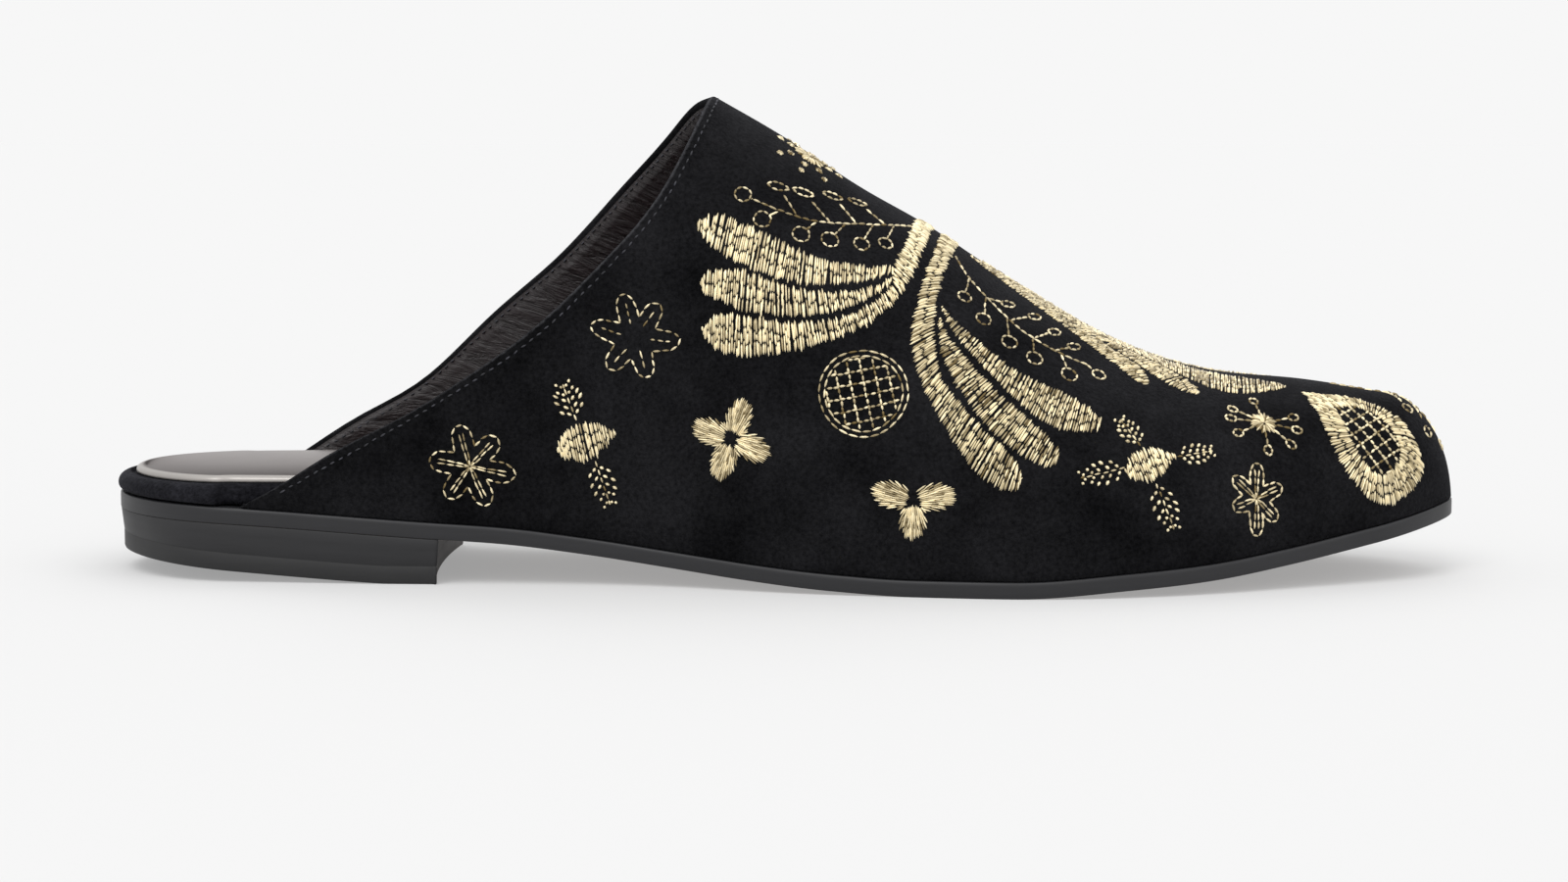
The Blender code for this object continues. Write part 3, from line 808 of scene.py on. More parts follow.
def heelLoop():
    shares = np.linspace(0, 1, heel["stations"] + 1) ** 1.7
    lateral = planLine(heel["length"] * shares - halfLength, -1)
    medial = planLine((heel["length"] - heel["skew"]) * shares - halfLength, 1)
    across = np.linspace(0, 1, 33)[:, None]
    breast = medial[-1] + (lateral[-1] - medial[-1]) * across
    breast[:, 0] -= heel["hollow"] * 4 * across[:, 0] * (1 - across[:, 0])
    return medial[::-1], lateral, breast[::-1]


medialLine, lateralLine, breastLine = heelLoop()
loop = np.concatenate([lateralLine, breastLine[1:], medialLine[1:]], axis=0)


def heelRing(inset, height):
    out = loopNormals(loop)
    plan = loop - out * inset
    z = height(plan[:, 0])
    return np.concatenate([plan, z[:, None]], axis=1)


def heelTop(x):
    return soleBottom(x) + 0.02


def stackTop(x):
    return heelTread(x) + heel["topPiece"]


taper = heel["taper"]
rows = [heelRing(taper + inset, lambda x, h=h: heelTread(x) + h) for inset, h in heel["low"]]
rows += [heelRing(taper + inset, lambda x, h=h: stackTop(x) + h) for inset, h in heel["seam"]]
for t in heel["high"]:
    inset = taper + (heel["highInset"] - taper) * t
    rows.append(heelRing(inset, lambda x: stackTop(x) * (1 - t) + heelTop(x) * t))
rows.append(heelRing(heel["lastInset"], heelTop))


def heelCap(row, height, count):
    centre = row[:, :2].mean(axis=0)
    made = []
    for share in np.linspace(0, 1, count + 1)[1:]:
        plan = row[:, :2] + (centre - row[:, :2]) * share
        made.append(np.concatenate([plan, height(plan[:, 0])[:, None]], axis=1))
    return made


under, over = heelCap(rows[0], heelTread, 10)[::-1], heelCap(rows[-1], heelTop, 3)
heelBlock = makeSheet("heelBlock", np.array(under + rows + over))
heelLeathers = [heelSide, topPieceTread, breastLeather, topPieceEdge]
dress(heelBlock, heelLeathers, "heel")
breastX = (heel["length"] - 6 - halfLength + frameShift[0]) * mm
for face in heelBlock.data.polygons:
    centre = face.center
    lift = centre.z / mm - float(heelTread(np.array(centre.x / mm - frameShift[0])))
    if face.normal.z < -0.8:
        face.material_index = 1
    elif face.normal.x > 0.6 and centre.x > breastX:
        face.material_index = 2
    elif lift < heel["topPiece"]:
        face.material_index = 3
print("heel", len(heelBlock.data.polygons))

# Embroidery: metallised gold thread, each stitch its own strand on the suede
# Places on the upper are (x, g) in millimetres: x along the sole from its middle towards
# the toe, g down over the surface from the ridge. The inner side has the mirrored set.
embroidery = {
    "thread": 0.44,  # width of a strand lying flat
    "height": 0.3,
    "fillGap": 0.16,  # where one strand dives in and the next comes out
    "dip": 0.5,  # length of each end that dives into the suede
    "long": 2.2,  # from this length a strand has two more cross-sections
    "seed": 11,
    "ahead": 0.7,  # where the drawing's zero lies ahead of the sole's middle
}
rng = np.random.default_rng(embroidery["seed"])
mapStep = 0.5
mapX = np.arange(-106.0, upperEnd - 0.05, mapStep)
mapHalf = 180  # columns of the map on each side of the ridge


def surfaceMap():
    w = np.linspace(1, -1, 721)
    around = (1 - np.abs(w)) * math.pi / 2
    sideOf = np.where(w < 0, -1, 1)
    x = mapX[:, None] + 0 * w[None, :]
    dense = upperPoint(x, np.broadcast_to(around, x.shape), np.broadcast_to(sideOf, x.shape))
    steps = np.linalg.norm(np.diff(dense, axis=1), axis=-1)
    length = np.concatenate([np.zeros((len(mapX), 1)), np.cumsum(steps, axis=1)], axis=1)
    middle = len(w) // 2
    girth = length - length[:, middle : middle + 1]
    points = np.zeros((len(mapX), 2 * mapHalf + 1, 3))
    for i in range(len(mapX)):
        reach = np.concatenate([
            np.linspace(girth[i, 0], 0, mapHalf + 1)[:-1],
            np.linspace(0, girth[i, -1], mapHalf + 1),
        ])
        for axis in range(3):
            points[i, :, axis] = np.interp(reach, girth[i], dense[i, :, axis])
    return points, surfaceNormals(points), girth[:, -1]


mapPoints, mapNormals, lateralGirth = surfaceMap()


def onUpper(place, sign=1):  # points and normals at (x, g), sign -1 for the inner side
    x = place[..., 0] + embroidery["ahead"]
    row = np.clip((x - mapX[0]) / mapStep, 0, len(mapX) - 1.001)
    girth = np.interp(x, mapX, lateralGirth)
    column = np.clip(mapHalf * (1 + sign * place[..., 1] / girth), 0, 2 * mapHalf - 0.001)
    i, j = row.astype(int), column.astype(int)
    a, b = (row - i)[..., None], (column - j)[..., None]
    found = []
    for grid in (mapPoints, mapNormals):
        found.append(
            (grid[i, j] * (1 - b) + grid[i, j + 1] * b) * (1 - a)
            + (grid[i + 1, j] * (1 - b) + grid[i + 1, j + 1] * b) * a
        )
    return found[0], unit(found[1])


def turning(angle):  # turns rows of points anticlockwise
    c, s = math.cos(angle), math.sin(angle)
    return np.array([[c, s], [-s, c]])


def ray(angle):
    return np.array([math.cos(angle), math.sin(angle)])


def spot(x, g, turn=0.0, alongRidge=False):
    # a flat drawing frame in true millimetres, level with the floor at that place
    centre = np.array([x, g])
    step = 0.8
    ax = (onUpper(centre + (step, 0))[0] - onUpper(centre - (step, 0))[0]) / (2 * step)
    ag = (onUpper(centre + (0, step))[0] - onUpper(centre - (0, step))[0]) / (2 * step)
    normal = onUpper(centre)[1]
    levelLine = np.cross(np.array([0, 0, 1.0]), normal)
    right = ax if alongRidge else levelLine * np.sign(levelLine[0])
    right = unit(right - normal * (right @ normal))
    up = np.cross(normal, right)
    if up @ ag > 0:
        up = -up
    solve = np.linalg.pinv(np.stack([ax, ag], axis=1)) @ np.stack([right, up], axis=1)
    solve = solve @ turning(turn).T
    return lambda points: centre + np.atleast_2d(np.array(points, float)) @ solve.T


def pathLength(path):
    points = onUpper(path)[0]
    return np.concatenate([[0], np.cumsum(np.linalg.norm(np.diff(points, axis=0), axis=-1))])


def resample(path, count):
    path = np.array(path, float)
    run = pathLength(path)
    at = np.linspace(0, run[-1], count)
    return np.stack([np.interp(at, run, path[:, k]) for k in (0, 1)], axis=-1)


def smoothPath(path, count=60):
    # Catmull-Rom through the points
    p = np.array(path, float)
    p = np.concatenate([2 * p[:1] - p[1:2], p, 2 * p[-1:] - p[-2:-1]])
    spans = len(p) - 3
    t = np.linspace(0, spans, count)
    k = np.clip(t.astype(int), 0, spans - 1)
    u = (t - k)[:, None]
    a, b, c, d = p[k], p[k + 1], p[k + 2], p[k + 3]
    square, cube = 2 * a - 5 * b + 4 * c - d, 3 * b - a - 3 * c + d
    return 0.5 * (2 * b + (c - a) * u + square * u**2 + cube * u**3)


def addStrand(kit, start, end, width=1.0, height=1.0, tone=0.0):
    kit.append((*start, *end, width, height, tone))


def runStitch(kit, path, stitch, gap, width=1.0):
    path = np.array(path, float)
    run = pathLength(path)
    count = max(1, round(run[-1] / (stitch + gap)))
    pitch = run[-1] / count
    for k in range(count):
        at = [k * pitch + gap / 2, (k + 1) * pitch - gap / 2]
        a, b = [np.array([np.interp(s, run, path[:, axis]) for axis in (0, 1)]) for s in at]
        wander = rng.normal(0, 0.05, 2)
        addStrand(kit, a + wander, b + rng.normal(0, 0.05, 2), width * rng.uniform(0.92, 1.1))


def satin(kit, edgeA, edgeB, pitch, longest, jag, tone, lean=0.12, inset=0.0, width=0.9, cover=1.0):
    # strands from one edge of a shape to the other, long ones split at uneven places
    edgeA, edgeB = np.array(edgeA, float), np.array(edgeB, float)
    count = max(3, int((pathLength(edgeA)[-1] + pathLength(edgeB)[-1]) / 2 / pitch))
    sideA, sideB = resample(edgeA, count), resample(edgeB, count)
    for k in range(count):
        a = sideA[k] + rng.normal(0, lean, 2)
        b = sideB[k] + rng.normal(0, lean, 2)
        span = np.linalg.norm(onUpper(b)[0] - onUpper(a)[0])
        if span < 0.5 + 2 * inset:
            continue
        reach = (b - a) / span
        a = a + reach * (inset - rng.uniform(-0.5, 1) * jag)
        b = b - reach * (inset - rng.uniform(-0.5, 1) * jag)
        pieces = max(1, math.ceil(span / longest))
        cuts = [0.0, *[(c + rng.uniform(-0.28, 0.28)) / pieces for c in range(1, pieces)], 1.0]
        for low, high in zip(cuts, cuts[1:]):
            if rng.uniform() > cover:
                continue
            gap = embroidery["fillGap"] / 2 / span
            first = a + (b - a) * (low + gap * (low > 0))
            final = a + (b - a) * (high - gap * (high < 1))
            across = width * rng.uniform(0.82, 1.15)
            addStrand(kit, first, final, across, rng.uniform(0.6, 1.4), tone)


def ring(frameOf, radius, squash=1.0, centre=(0, 0), turn=0.0, count=28):
    around = np.linspace(0, 2 * math.pi, count)
    points = np.stack([radius * np.cos(around), radius * squash * np.sin(around)], axis=-1)
    return frameOf(points @ turning(turn) + centre)


def berry(kit, x, g, radius):
    runStitch(kit, ring(spot(x, g), radius), 1.15, 0.12, 0.95)


def flower(kit, frameOf, petals, notch, breadth, line=1, stitch=1.35, gap=0.32):
    # each petal is a narrow loop of run stitches round one or two lines up its middle
    turns = [math.radians(turn) for _, turn in petals]
    count = len(petals)
    for k, (radius, _) in enumerate(petals):
        turn = turns[k]
        before = (turns[k - 1] - turn + math.pi) % (2 * math.pi) - math.pi
        after = (turns[(k + 1) % count] - turn + math.pi) % (2 * math.pi) - math.pi
        base = [notch * ray(a / 2) for a in sorted((before, after))]
        turned = turning(turn)
        reach = radius - notch
        outline = [
            base[0],
            (notch + 0.34 * reach, -0.94 * breadth), (notch + 0.72 * reach, -0.8 * breadth),
            (radius - 0.15, -0.3 * breadth), (radius, 0), (radius - 0.15, 0.3 * breadth),
            (notch + 0.72 * reach, 0.8 * breadth), (notch + 0.34 * reach, 0.94 * breadth),
            base[1],
        ]
        runStitch(kit, frameOf(smoothPath(outline, 60) @ turned), stitch, gap)
        if line == 1:
            middle = np.array([(0.3 * radius, 0.1), (0.8 * radius, -0.1)]) @ turned
            runStitch(kit, frameOf(middle), 1.3, 0.45, 0.9)
            continue
        for off in (-0.42, 0.42):
            middle = np.array([(0.14 * radius, off * 0.6), (0.8 * radius, off)]) @ turned
            runStitch(kit, frameOf(middle), 1.7, 0.15, 0.85)
        for lean in (-0.12, 0.18):
            addStrand(kit, *frameOf([ray(turn + lean) * 0.15, ray(turn + lean) * 1.3]), 0.9)


petalTiers = [  # start, end, count of strands, and breadth at both ends
    (0.0, 0.42, 12, 0.6, 0.95), (0.22, 0.66, 13, 0.72, 1.05),
    (0.44, 0.86, 13, 0.74, 1.0), (0.64, 1.04, 11, 0.6, 0.72),
]


def filledPetals(kit, frameOf, petals, breadth, hollow):
    # satin petals round a bare middle: tiers of strands that fan out to a feathered edge
    for radius, turn in petals:
        for low, high, count, spreadLow, spreadHigh in petalTiers:
            for share in np.linspace(-1, 1, count):
                near = low + rng.uniform(-0.05, 0.05) - 0.03 * (1 - abs(share))
                far = high + rng.uniform(-0.09, 0.04) - 0.16 * share**2
                ends = np.array([(near, share * spreadLow), (far, share * spreadHigh)])
                ends = ends * (radius - hollow, breadth) + (hollow, 0)
                ends = frameOf(ends @ turning(math.radians(turn)))
                addStrand(kit, *ends, rng.uniform(0.68, 0.9), rng.uniform(0.7, 1.5), 0.15)


def fern(kit, frameOf, start, end, breadth):
    # two rows of short leaflets on each side of a broken stem, widest near its foot
    start, end = np.array(start, float), np.array(end, float)
    along = end - start
    length = np.linalg.norm(along)
    along = along / length
    off = np.array([-along[1], along[0]])
    runStitch(kit, frameOf([start, start + along * length * 0.9]), 1.2, 0.5, 0.85)
    for k in range(5):
        share = (k + 0.6) / 5.3
        base = start + along * length * share
        size = breadth * (0.55 + 0.45 * math.sin(math.pi * min(share * 1.25 + 0.1, 1)))
        for side in (-1, 1):
            for near, far in ((0.2, 0.48), (0.68, 0.98)):
                shift = along * rng.normal(0.12, 0.12)
                a = base + off * side * size * near + along * size * near * 0.75 + shift
                b = base + off * side * size * far + along * size * far * 0.85 + shift
                addStrand(kit, *frameOf([a, b]), rng.uniform(1.2, 1.5), 1.5, 0.4)
    addStrand(kit, *frameOf([end - along * 0.9, end]))


seed = {  # edges from the blunt end to the pointed one
    "high": [(-6.0, -0.9), (-4.9, 1.2), (-2.9, 2.9), (0.0, 3.7), (2.4, 3.5), (4.4, 2.7),
             (6.3, 1.9)],
    "low": [(-6.0, -1.9), (-4.8, -3.0), (-3.0, -3.5), (-0.9, -3.75), (1.5, -3.0), (3.4, -1.2),
            (6.3, 1.9)],
}


def seedShape(kit, frameOf, scale):
    high, low = (smoothPath(seed[name]) * scale for name in ("high", "low"))
    satin(kit, frameOf(low), frameOf(high), 0.44, 2.3, 0.45, 0.3)


def lattice(kit, frameOf, inside, spacing, turn, extent):
    # crossing lines of long run stitches, kept to where inside() holds
    for direction in (turn, turn + math.pi / 2):
        c, s = math.cos(direction), math.sin(direction)
        for offset in np.arange(-extent, extent + 0.01, spacing):
            t = np.linspace(-extent, extent, 161)
            line = np.stack([t * c - offset * s, t * s + offset * c], axis=-1)
            keep = inside(line)
            if keep.sum() > 6:
                kept = line[keep]
                runStitch(kit, frameOf(kept), spacing / 2 - 0.12, 0.1, 1.15)


lateral = []  # strands of one side, mirrored for the other
middleKit = []  # strands on the ridge

plumes = {  # each is its two edges, from tip to root
    "rearTop": (
        [(-16.9, 39.8), (-15.1, 37.0), (-12.7, 35.4), (-9.7, 35.0), (-6.2, 35.2), (-2.8, 35.5),
         (1.3, 35.6), (5.3, 35.4), (9.1, 34.4), (13.5, 32.5), (17.5, 30.4), (21.2, 28.2)],
        [(-16.9, 39.8), (-15.3, 41.6), (-12.6, 43.0), (-9.1, 44.0), (-5.0, 44.2), (-0.9, 44.0),
         (3.5, 42.8), (7.8, 40.6), (12.2, 37.9), (16.2, 34.8), (18.9, 32.6), (20.9, 30.6)],
    ),
    "rearMiddle": (
        [(-15.8, 50.8), (-14.2, 48.0), (-11.8, 46.5), (-7.7, 45.1), (-4.0, 44.7), (0.8, 44.4),
         (4.8, 43.3), (10.2, 40.6), (14.9, 37.2), (18.5, 34.3), (20.7, 31.5)],
        [(-15.8, 50.8), (-14.8, 52.4), (-11.3, 53.0), (-7.6, 53.2), (-3.8, 52.6), (0.9, 50.9),
         (4.9, 48.7), (8.6, 46.3), (11.6, 43.8), (15.6, 40.0), (18.6, 36.2), (20.9, 33.0)],
    ),
    "rearLow": (
        [(-15.2, 60.2), (-13.3, 56.9), (-11.3, 55.2), (-7.2, 54.0), (-3.8, 53.3), (0.2, 52.1),
         (4.9, 49.9), (8.9, 47.5), (11.6, 45.2), (15.6, 41.1), (18.9, 36.9), (20.9, 33.0),
         (21.5, 29.1), (22.3, 25.0), (23.6, 19.4), (25.0, 11.2), (25.8, 4.3), (26.2, 0.0)],
        [(-15.2, 60.2), (-14.3, 61.5), (-11.9, 62.7), (-8.1, 62.3), (-3.7, 60.9), (0.3, 58.5),
         (5.0, 55.3), (9.6, 51.4), (13.6, 47.6), (17.0, 44.0), (20.6, 38.7), (23.3, 33.4),
         (25.0, 28.3), (26.6, 21.9), (28.0, 13.6), (28.9, 4.1), (29.2, 0.0)],
    ),
    "frontLow": (
        [(45.6, 61.6), (44.6, 63.8), (41.8, 65.2), (37.0, 64.2), (33.5, 61.3), (30.5, 57.6),
         (27.4, 52.8), (25.7, 48.5), (24.9, 44.1), (25.3, 39.0), (26.4, 31.9), (27.6, 26.0),
         (28.9, 19.1), (30.3, 9.0), (31.0, 0.0)],
        [(45.6, 61.6), (45.2, 59.6), (43.2, 57.4), (38.6, 55.0), (33.5, 51.6), (30.5, 48.5),
         (29.4, 42.8), (29.3, 38.6), (29.6, 33.7), (30.5, 26.5), (31.8, 18.9), (33.4, 8.0),
         (34.0, 0.0)],
    ),
    "frontMiddle": (
        [(52.6, 53.9), (51.0, 56.4), (47.5, 57.0), (42.5, 56.0), (37.0, 52.5), (32.4, 47.3),
         (30.4, 42.4), (30.1, 35.0)],
        [(52.6, 53.9), (52.1, 51.4), (47.5, 48.9), (42.2, 46.5), (37.8, 43.8), (33.9, 40.8),
         (31.5, 38.2), (30.2, 34.6)],
    ),
    "frontTop": (
        [(60.8, 41.7), (59.0, 44.6), (54.0, 47.3), (49.4, 47.8), (44.1, 45.6), (38.1, 41.6),
         (33.9, 38.5), (31.3, 34.8), (30.5, 32.8)],
        [(60.8, 41.7), (60.1, 40.0), (54.8, 38.8), (47.7, 39.1), (42.3, 38.4), (37.1, 36.3),
         (32.8, 34.1), (30.8, 32.4)],
    ),
    "fanLow": (
        [(70.2, 25.0), (67.8, 24.7), (64.2, 21.4), (56.8, 16.6), (51.6, 14.2), (46.1, 11.4),
         (41.0, 8.6), (36.5, 5.6)],
        [(70.2, 25.0), (70.6, 21.9), (69.6, 18.6), (65.2, 14.6), (57.8, 10.2), (52.0, 7.4),
         (45.0, 5.2), (36.8, 4.0)],
    ),
    "fanMiddle": (
        [(80.8, 21.4), (77.2, 22.0), (72.4, 19.8), (68.2, 15.6), (60.5, 10.6), (52.0, 6.8),
         (45.0, 4.4), (38.6, 3.2)],
        [(80.8, 21.4), (80.2, 18.6), (77.5, 15.0), (73.3, 11.6), (65.7, 7.2), (56.0, 4.2),
         (47.0, 2.6), (39.4, 2.2)],
    ),
    "fanTop": (
        [(98.6, 10.5), (96.4, 12.9), (93.5, 14.6), (90.4, 16.4), (87.3, 17.6), (84.2, 17.3),
         (80.2, 15.6), (76.3, 12.6), (71.0, 8.8), (65.5, 6.0), (56.0, 3.2), (45.0, 1.6)],
        [(98.6, 10.5), (96.0, 7.8), (91.0, 6.2), (84.0, 4.6), (76.0, 2.6), (66.0, 0.8), (56.0, 0.2),
         (45.0, 0.2)],
    ),
}
plumeFill = {
    "rear": {"pitch": 0.43, "longest": 3.3, "jag": 0.55, "inset": 0.2, "lean": 0.15, "tone": 0.3},
    "front": {"pitch": 0.42, "longest": 2.7, "jag": 0.35, "inset": 0.05, "lean": 0.14, "tone": 0.08}
}
for name, edges in plumes.items():
    fill = plumeFill["rear" if name.startswith("rear") else "front"]
    satin(lateral, *[smoothPath(edge, 120) for edge in edges], width=0.86, cover=0.98, **fill)

sprigs = {
    "stems": [
        [(25.0, 11.0), (20.1, 16.2), (15.0, 20.5), (9.9, 24.5), (5.2, 27.3), (2.0, 28.2),
         (-1.3, 28.9), (-5.9, 29.0)],
        [(33.4, 13.0), (35.7, 18.6), (40.0, 23.0), (45.1, 26.8), (49.0, 28.0), (53.7, 28.2),
         (59.0, 27.2)],
    ],
    "berries": [  # x, g, radius, stalk from
        (-7.8, 28.8, 1.7, (-5.9, 29.0)), (-3.9, 32.6, 1.75, (-0.9, 29.2)),
        (3.6, 31.8, 1.75, (6.4, 26.9)),
        (9.1, 29.4, 1.75, (12.0, 23.0)), (15.2, 26.2, 1.65, (17.4, 18.6)),
        (19.8, 22.6, 1.5, (21.3, 15.3)),
        (35.1, 26.5, 1.45, (36.1, 19.3)), (38.8, 29.9, 1.6, (39.3, 22.6)),
        (43.7, 32.6, 1.65, (43.2, 25.6)),
        (48.5, 33.6, 1.65, (48.2, 28.0)), (55.1, 33.2, 1.7, (53.7, 28.4)),
        (60.9, 28.6, 1.45, (58.6, 27.4)),
    ],
    "leaves": [  # x, g, turn, stalk from
        (-1.1, 23.0, -0.35, (2.6, 27.9)), (3.8, 20.9, -0.45, (9.1, 25.0)),
        (9.4, 16.6, -0.5, (14.0, 21.1)),
        (14.2, 13.4, -0.5, (19.6, 16.4)), (43.6, 20.6, -0.1, (39.6, 22.6)),
        (48.8, 19.6, 0.0, (44.0, 26.0)),
        (52.6, 21.4, 0.1, (48.6, 27.8)), (56.4, 23.0, 0.1, (52.6, 28.2)),
    ],
}
for stem in sprigs["stems"]:
    runStitch(lateral, smoothPath(stem, 80), 1.6, 0.08)
for x, g, radius, root in sprigs["berries"]:
    berry(lateral, x, g, radius)
    away = np.array(root) - (x, g)
    reach = np.array((x, g)) + away * radius / max(np.linalg.norm(away), 0.1)
    runStitch(lateral, [root, reach], 1.5, 0.1)
for x, g, turn, root in sprigs["leaves"]:
    around = np.linspace(0, 2 * math.pi, 28)
    # the rear leaves are longer and pointed
    length, point = (2.3, 0.8) if x < 30 else (1.95, 0)
    rise = np.sin(around) * np.abs(np.sin(around)) ** point
    loop = np.stack([length * np.cos(around), rise], axis=-1)
    runStitch(lateral, spot(x, g, turn)(loop), 1.15, 0.12, 0.95)
    runStitch(lateral, [root, np.array((x, g)) + (np.array(root) - (x, g)) * 0.3], 1.5, 0.1)

# petals are given as their reach and turn
petals = [(8.9, 108), (7.9, 56), (8.8, -7), (8.0, -71), (8.0, -131), (8.9, 166)]
flower(lateral, spot(-27.9, 67.4), petals, 4.1, 1.95)
petals = [(8.3, 105), (7.8, 47), (9.0, -11), (8.3, -66), (7.6, -127), (8.0, 170)]
flower(lateral, spot(-59.9, 111.5), petals, 3.9, 2.1, 2)
frameOf = spot(-37.3, 92.7)
seedShape(lateral, frameOf, (0.94, 1.0))
fern(lateral, frameOf, (-1.9, 3.9), (-4.6, 11.0), 2.9)
fern(lateral, frameOf, (1.6, -3.5), (4.5, -12.2), 2.6)
filledPetals(lateral, spot(-9.3, 78.7), [(7.9, 71), (8.2, -19), (8.1, -108), (8.1, 163)], 2.6, 1.4)
filledPetals(lateral, spot(25.4, 75.2), [(8.0, 12), (8.0, 165), (7.3, -90)], 2.6, 1.2)
frameOf = spot(15.9, 58.6)
for radius in (8.5, 7.45):
    runStitch(lateral, ring(frameOf, radius, 1.0, count=60), 1.8, 0.22)
lattice(lateral, frameOf, lambda p: np.hypot(p[:, 0], p[:, 1]) < 7.1, 2.45, math.radians(12), 7.8)
frameOf = spot(70.2, 45.6)
seedShape(lateral, frameOf, (0.85, 0.9))
fern(lateral, frameOf, (-1.2, 3.6), (-4.4, 9.9), 2.4)
fern(lateral, frameOf, (5.3, 1.3), (13.0, 2.2), 2.3)
fern(lateral, frameOf, (-5.0, -0.6), (-14.4, -2.6), 2.4)
fern(lateral, frameOf, (0.3, -3.6), (2.6, -12.8), 2.7)


def patch(kit, frameOf, centre, length, breadth, turn):  # a small filled leaf
    for share in np.linspace(-1, 1, 4):
        half = length / 2 * math.sqrt(1 - 0.85 * share**2)
        ends = np.array([(-half, share * breadth / 2), (half, share * breadth / 2)])
        ends = frameOf(ends @ turning(math.radians(turn)) + centre)
        addStrand(kit, *ends, rng.uniform(0.8, 1.0), rng.uniform(0.8, 1.4))


def starburst(kit, frameOf, core, rays, loop=None):
    # a solid middle of radiating strands, with rays that end in loops or small leaves
    for k in range(len(rays) * 5):
        angle = 2 * math.pi * (k + rng.uniform(-0.3, 0.3)) / (len(rays) * 5)
        ends = rng.uniform(0.0, 0.35), rng.uniform(0.8, 1.15)
        ends = frameOf([ray(angle) * end * core for end in ends])
        addStrand(kit, *ends, 1.0, rng.uniform(0.9, 1.6))
    for reach, turn in rays:
        out = ray(math.radians(turn))
        if loop:
            runStitch(kit, frameOf([out * core * 0.9, out * (reach - loop)]), 1.8, 0.05)
            eye = ring(frameOf, loop, 0.8, out * reach, math.radians(turn), 24)
            runStitch(kit, eye, 1.1, 0.04, 1.05)
        else:
            patch(kit, frameOf, out * reach * 0.64, 2.0, 1.2, turn + 20)
            patch(kit, frameOf, out * reach, 1.8, 1.0, turn - 15)


rays = [(6.6, turn) for turn in (168, 202, 260, 307, 342, 10, 90, 142)]
starburst(lateral, spot(92.8, 25.8), 2.6, rays, 1.15)
petals = [(7.3, 82), (6.4, 135), (5.6, 197), (7.3, 265), (6.0, 313), (6.2, 21)]
flower(lateral, spot(90.6, 43.2), petals, 2.8, 1.5, 2, 1.4, 0.1)

# the drop at the toe: a satin border round a lattice
drop = {
    "outer": [(101.4, 12.8), (108.7, 10.8), (114.7, 10.8), (120.0, 12.9), (123.5, 15.2),
              (124.7, 18.2), (123.6, 23.5), (120.0, 29.8), (116.9, 32.8), (113.4, 33.1),
              (110.0, 31.3), (107.2, 27.9), (104.6, 21.8), (101.4, 12.8)],
    "inner": [(107.2, 15.8), (110.4, 13.9), (113.4, 13.6), (117.2, 15.4), (119.6, 18.8),
              (119.4, 22.8), (116.8, 26.8), (113.6, 27.4), (110.8, 24.4), (108.8, 19.8),
              (107.2, 15.8)],
}
outer, inner = smoothPath(drop["outer"], 200), smoothPath(drop["inner"], 200)
satin(lateral, outer, inner, 0.41, 2.6, 0.4, 0.2)
frameOf = spot(113.6, 20.5)


def insideDrop(points):
    places = frameOf(points)
    a, b = inner, np.roll(inner, -1, axis=0)
    held = np.zeros(len(places), bool)
    for p, q in zip(a, b):
        crosses = (p[1] > places[:, 1]) != (q[1] > places[:, 1])
        reach = (q[0] - p[0]) * (places[:, 1] - p[1]) / (q[1] - p[1] + 1e-12) + p[0]
        held ^= crosses & (places[:, 0] < reach)
    return held


lattice(lateral, frameOf, insideDrop, 2.4, math.radians(-62), 10.0)

# top of the toe and the throat: figures on the ridge, one for both sides
rays = [(7.0, 176), (9.2, -130), (8.8, -94), (8.2, -57), (6.9, 8), (8.2, 57), (8.8, 94), (9.2, 130)]
starburst(middleKit, spot(4.6, 5.4, 0, True), 3.3, rays)
stem = smoothPath([(108.0, 0.0), (114.0, 0.4), (121.0, -0.4), (127.0, 0.0)], 40)
runStitch(middleKit, stem, 1.6, 0.1)
for x, g in ((122.4, 7.7), (126.4, 8.4), (129.6, 3.4)):
    for side in (-1, 1):
        berry(middleKit, x, side * g, 1.3)
        runStitch(middleKit, [(x - 3.4, 0.0), (x - 1.0, side * g * 0.8)], 1.5, 0.1)


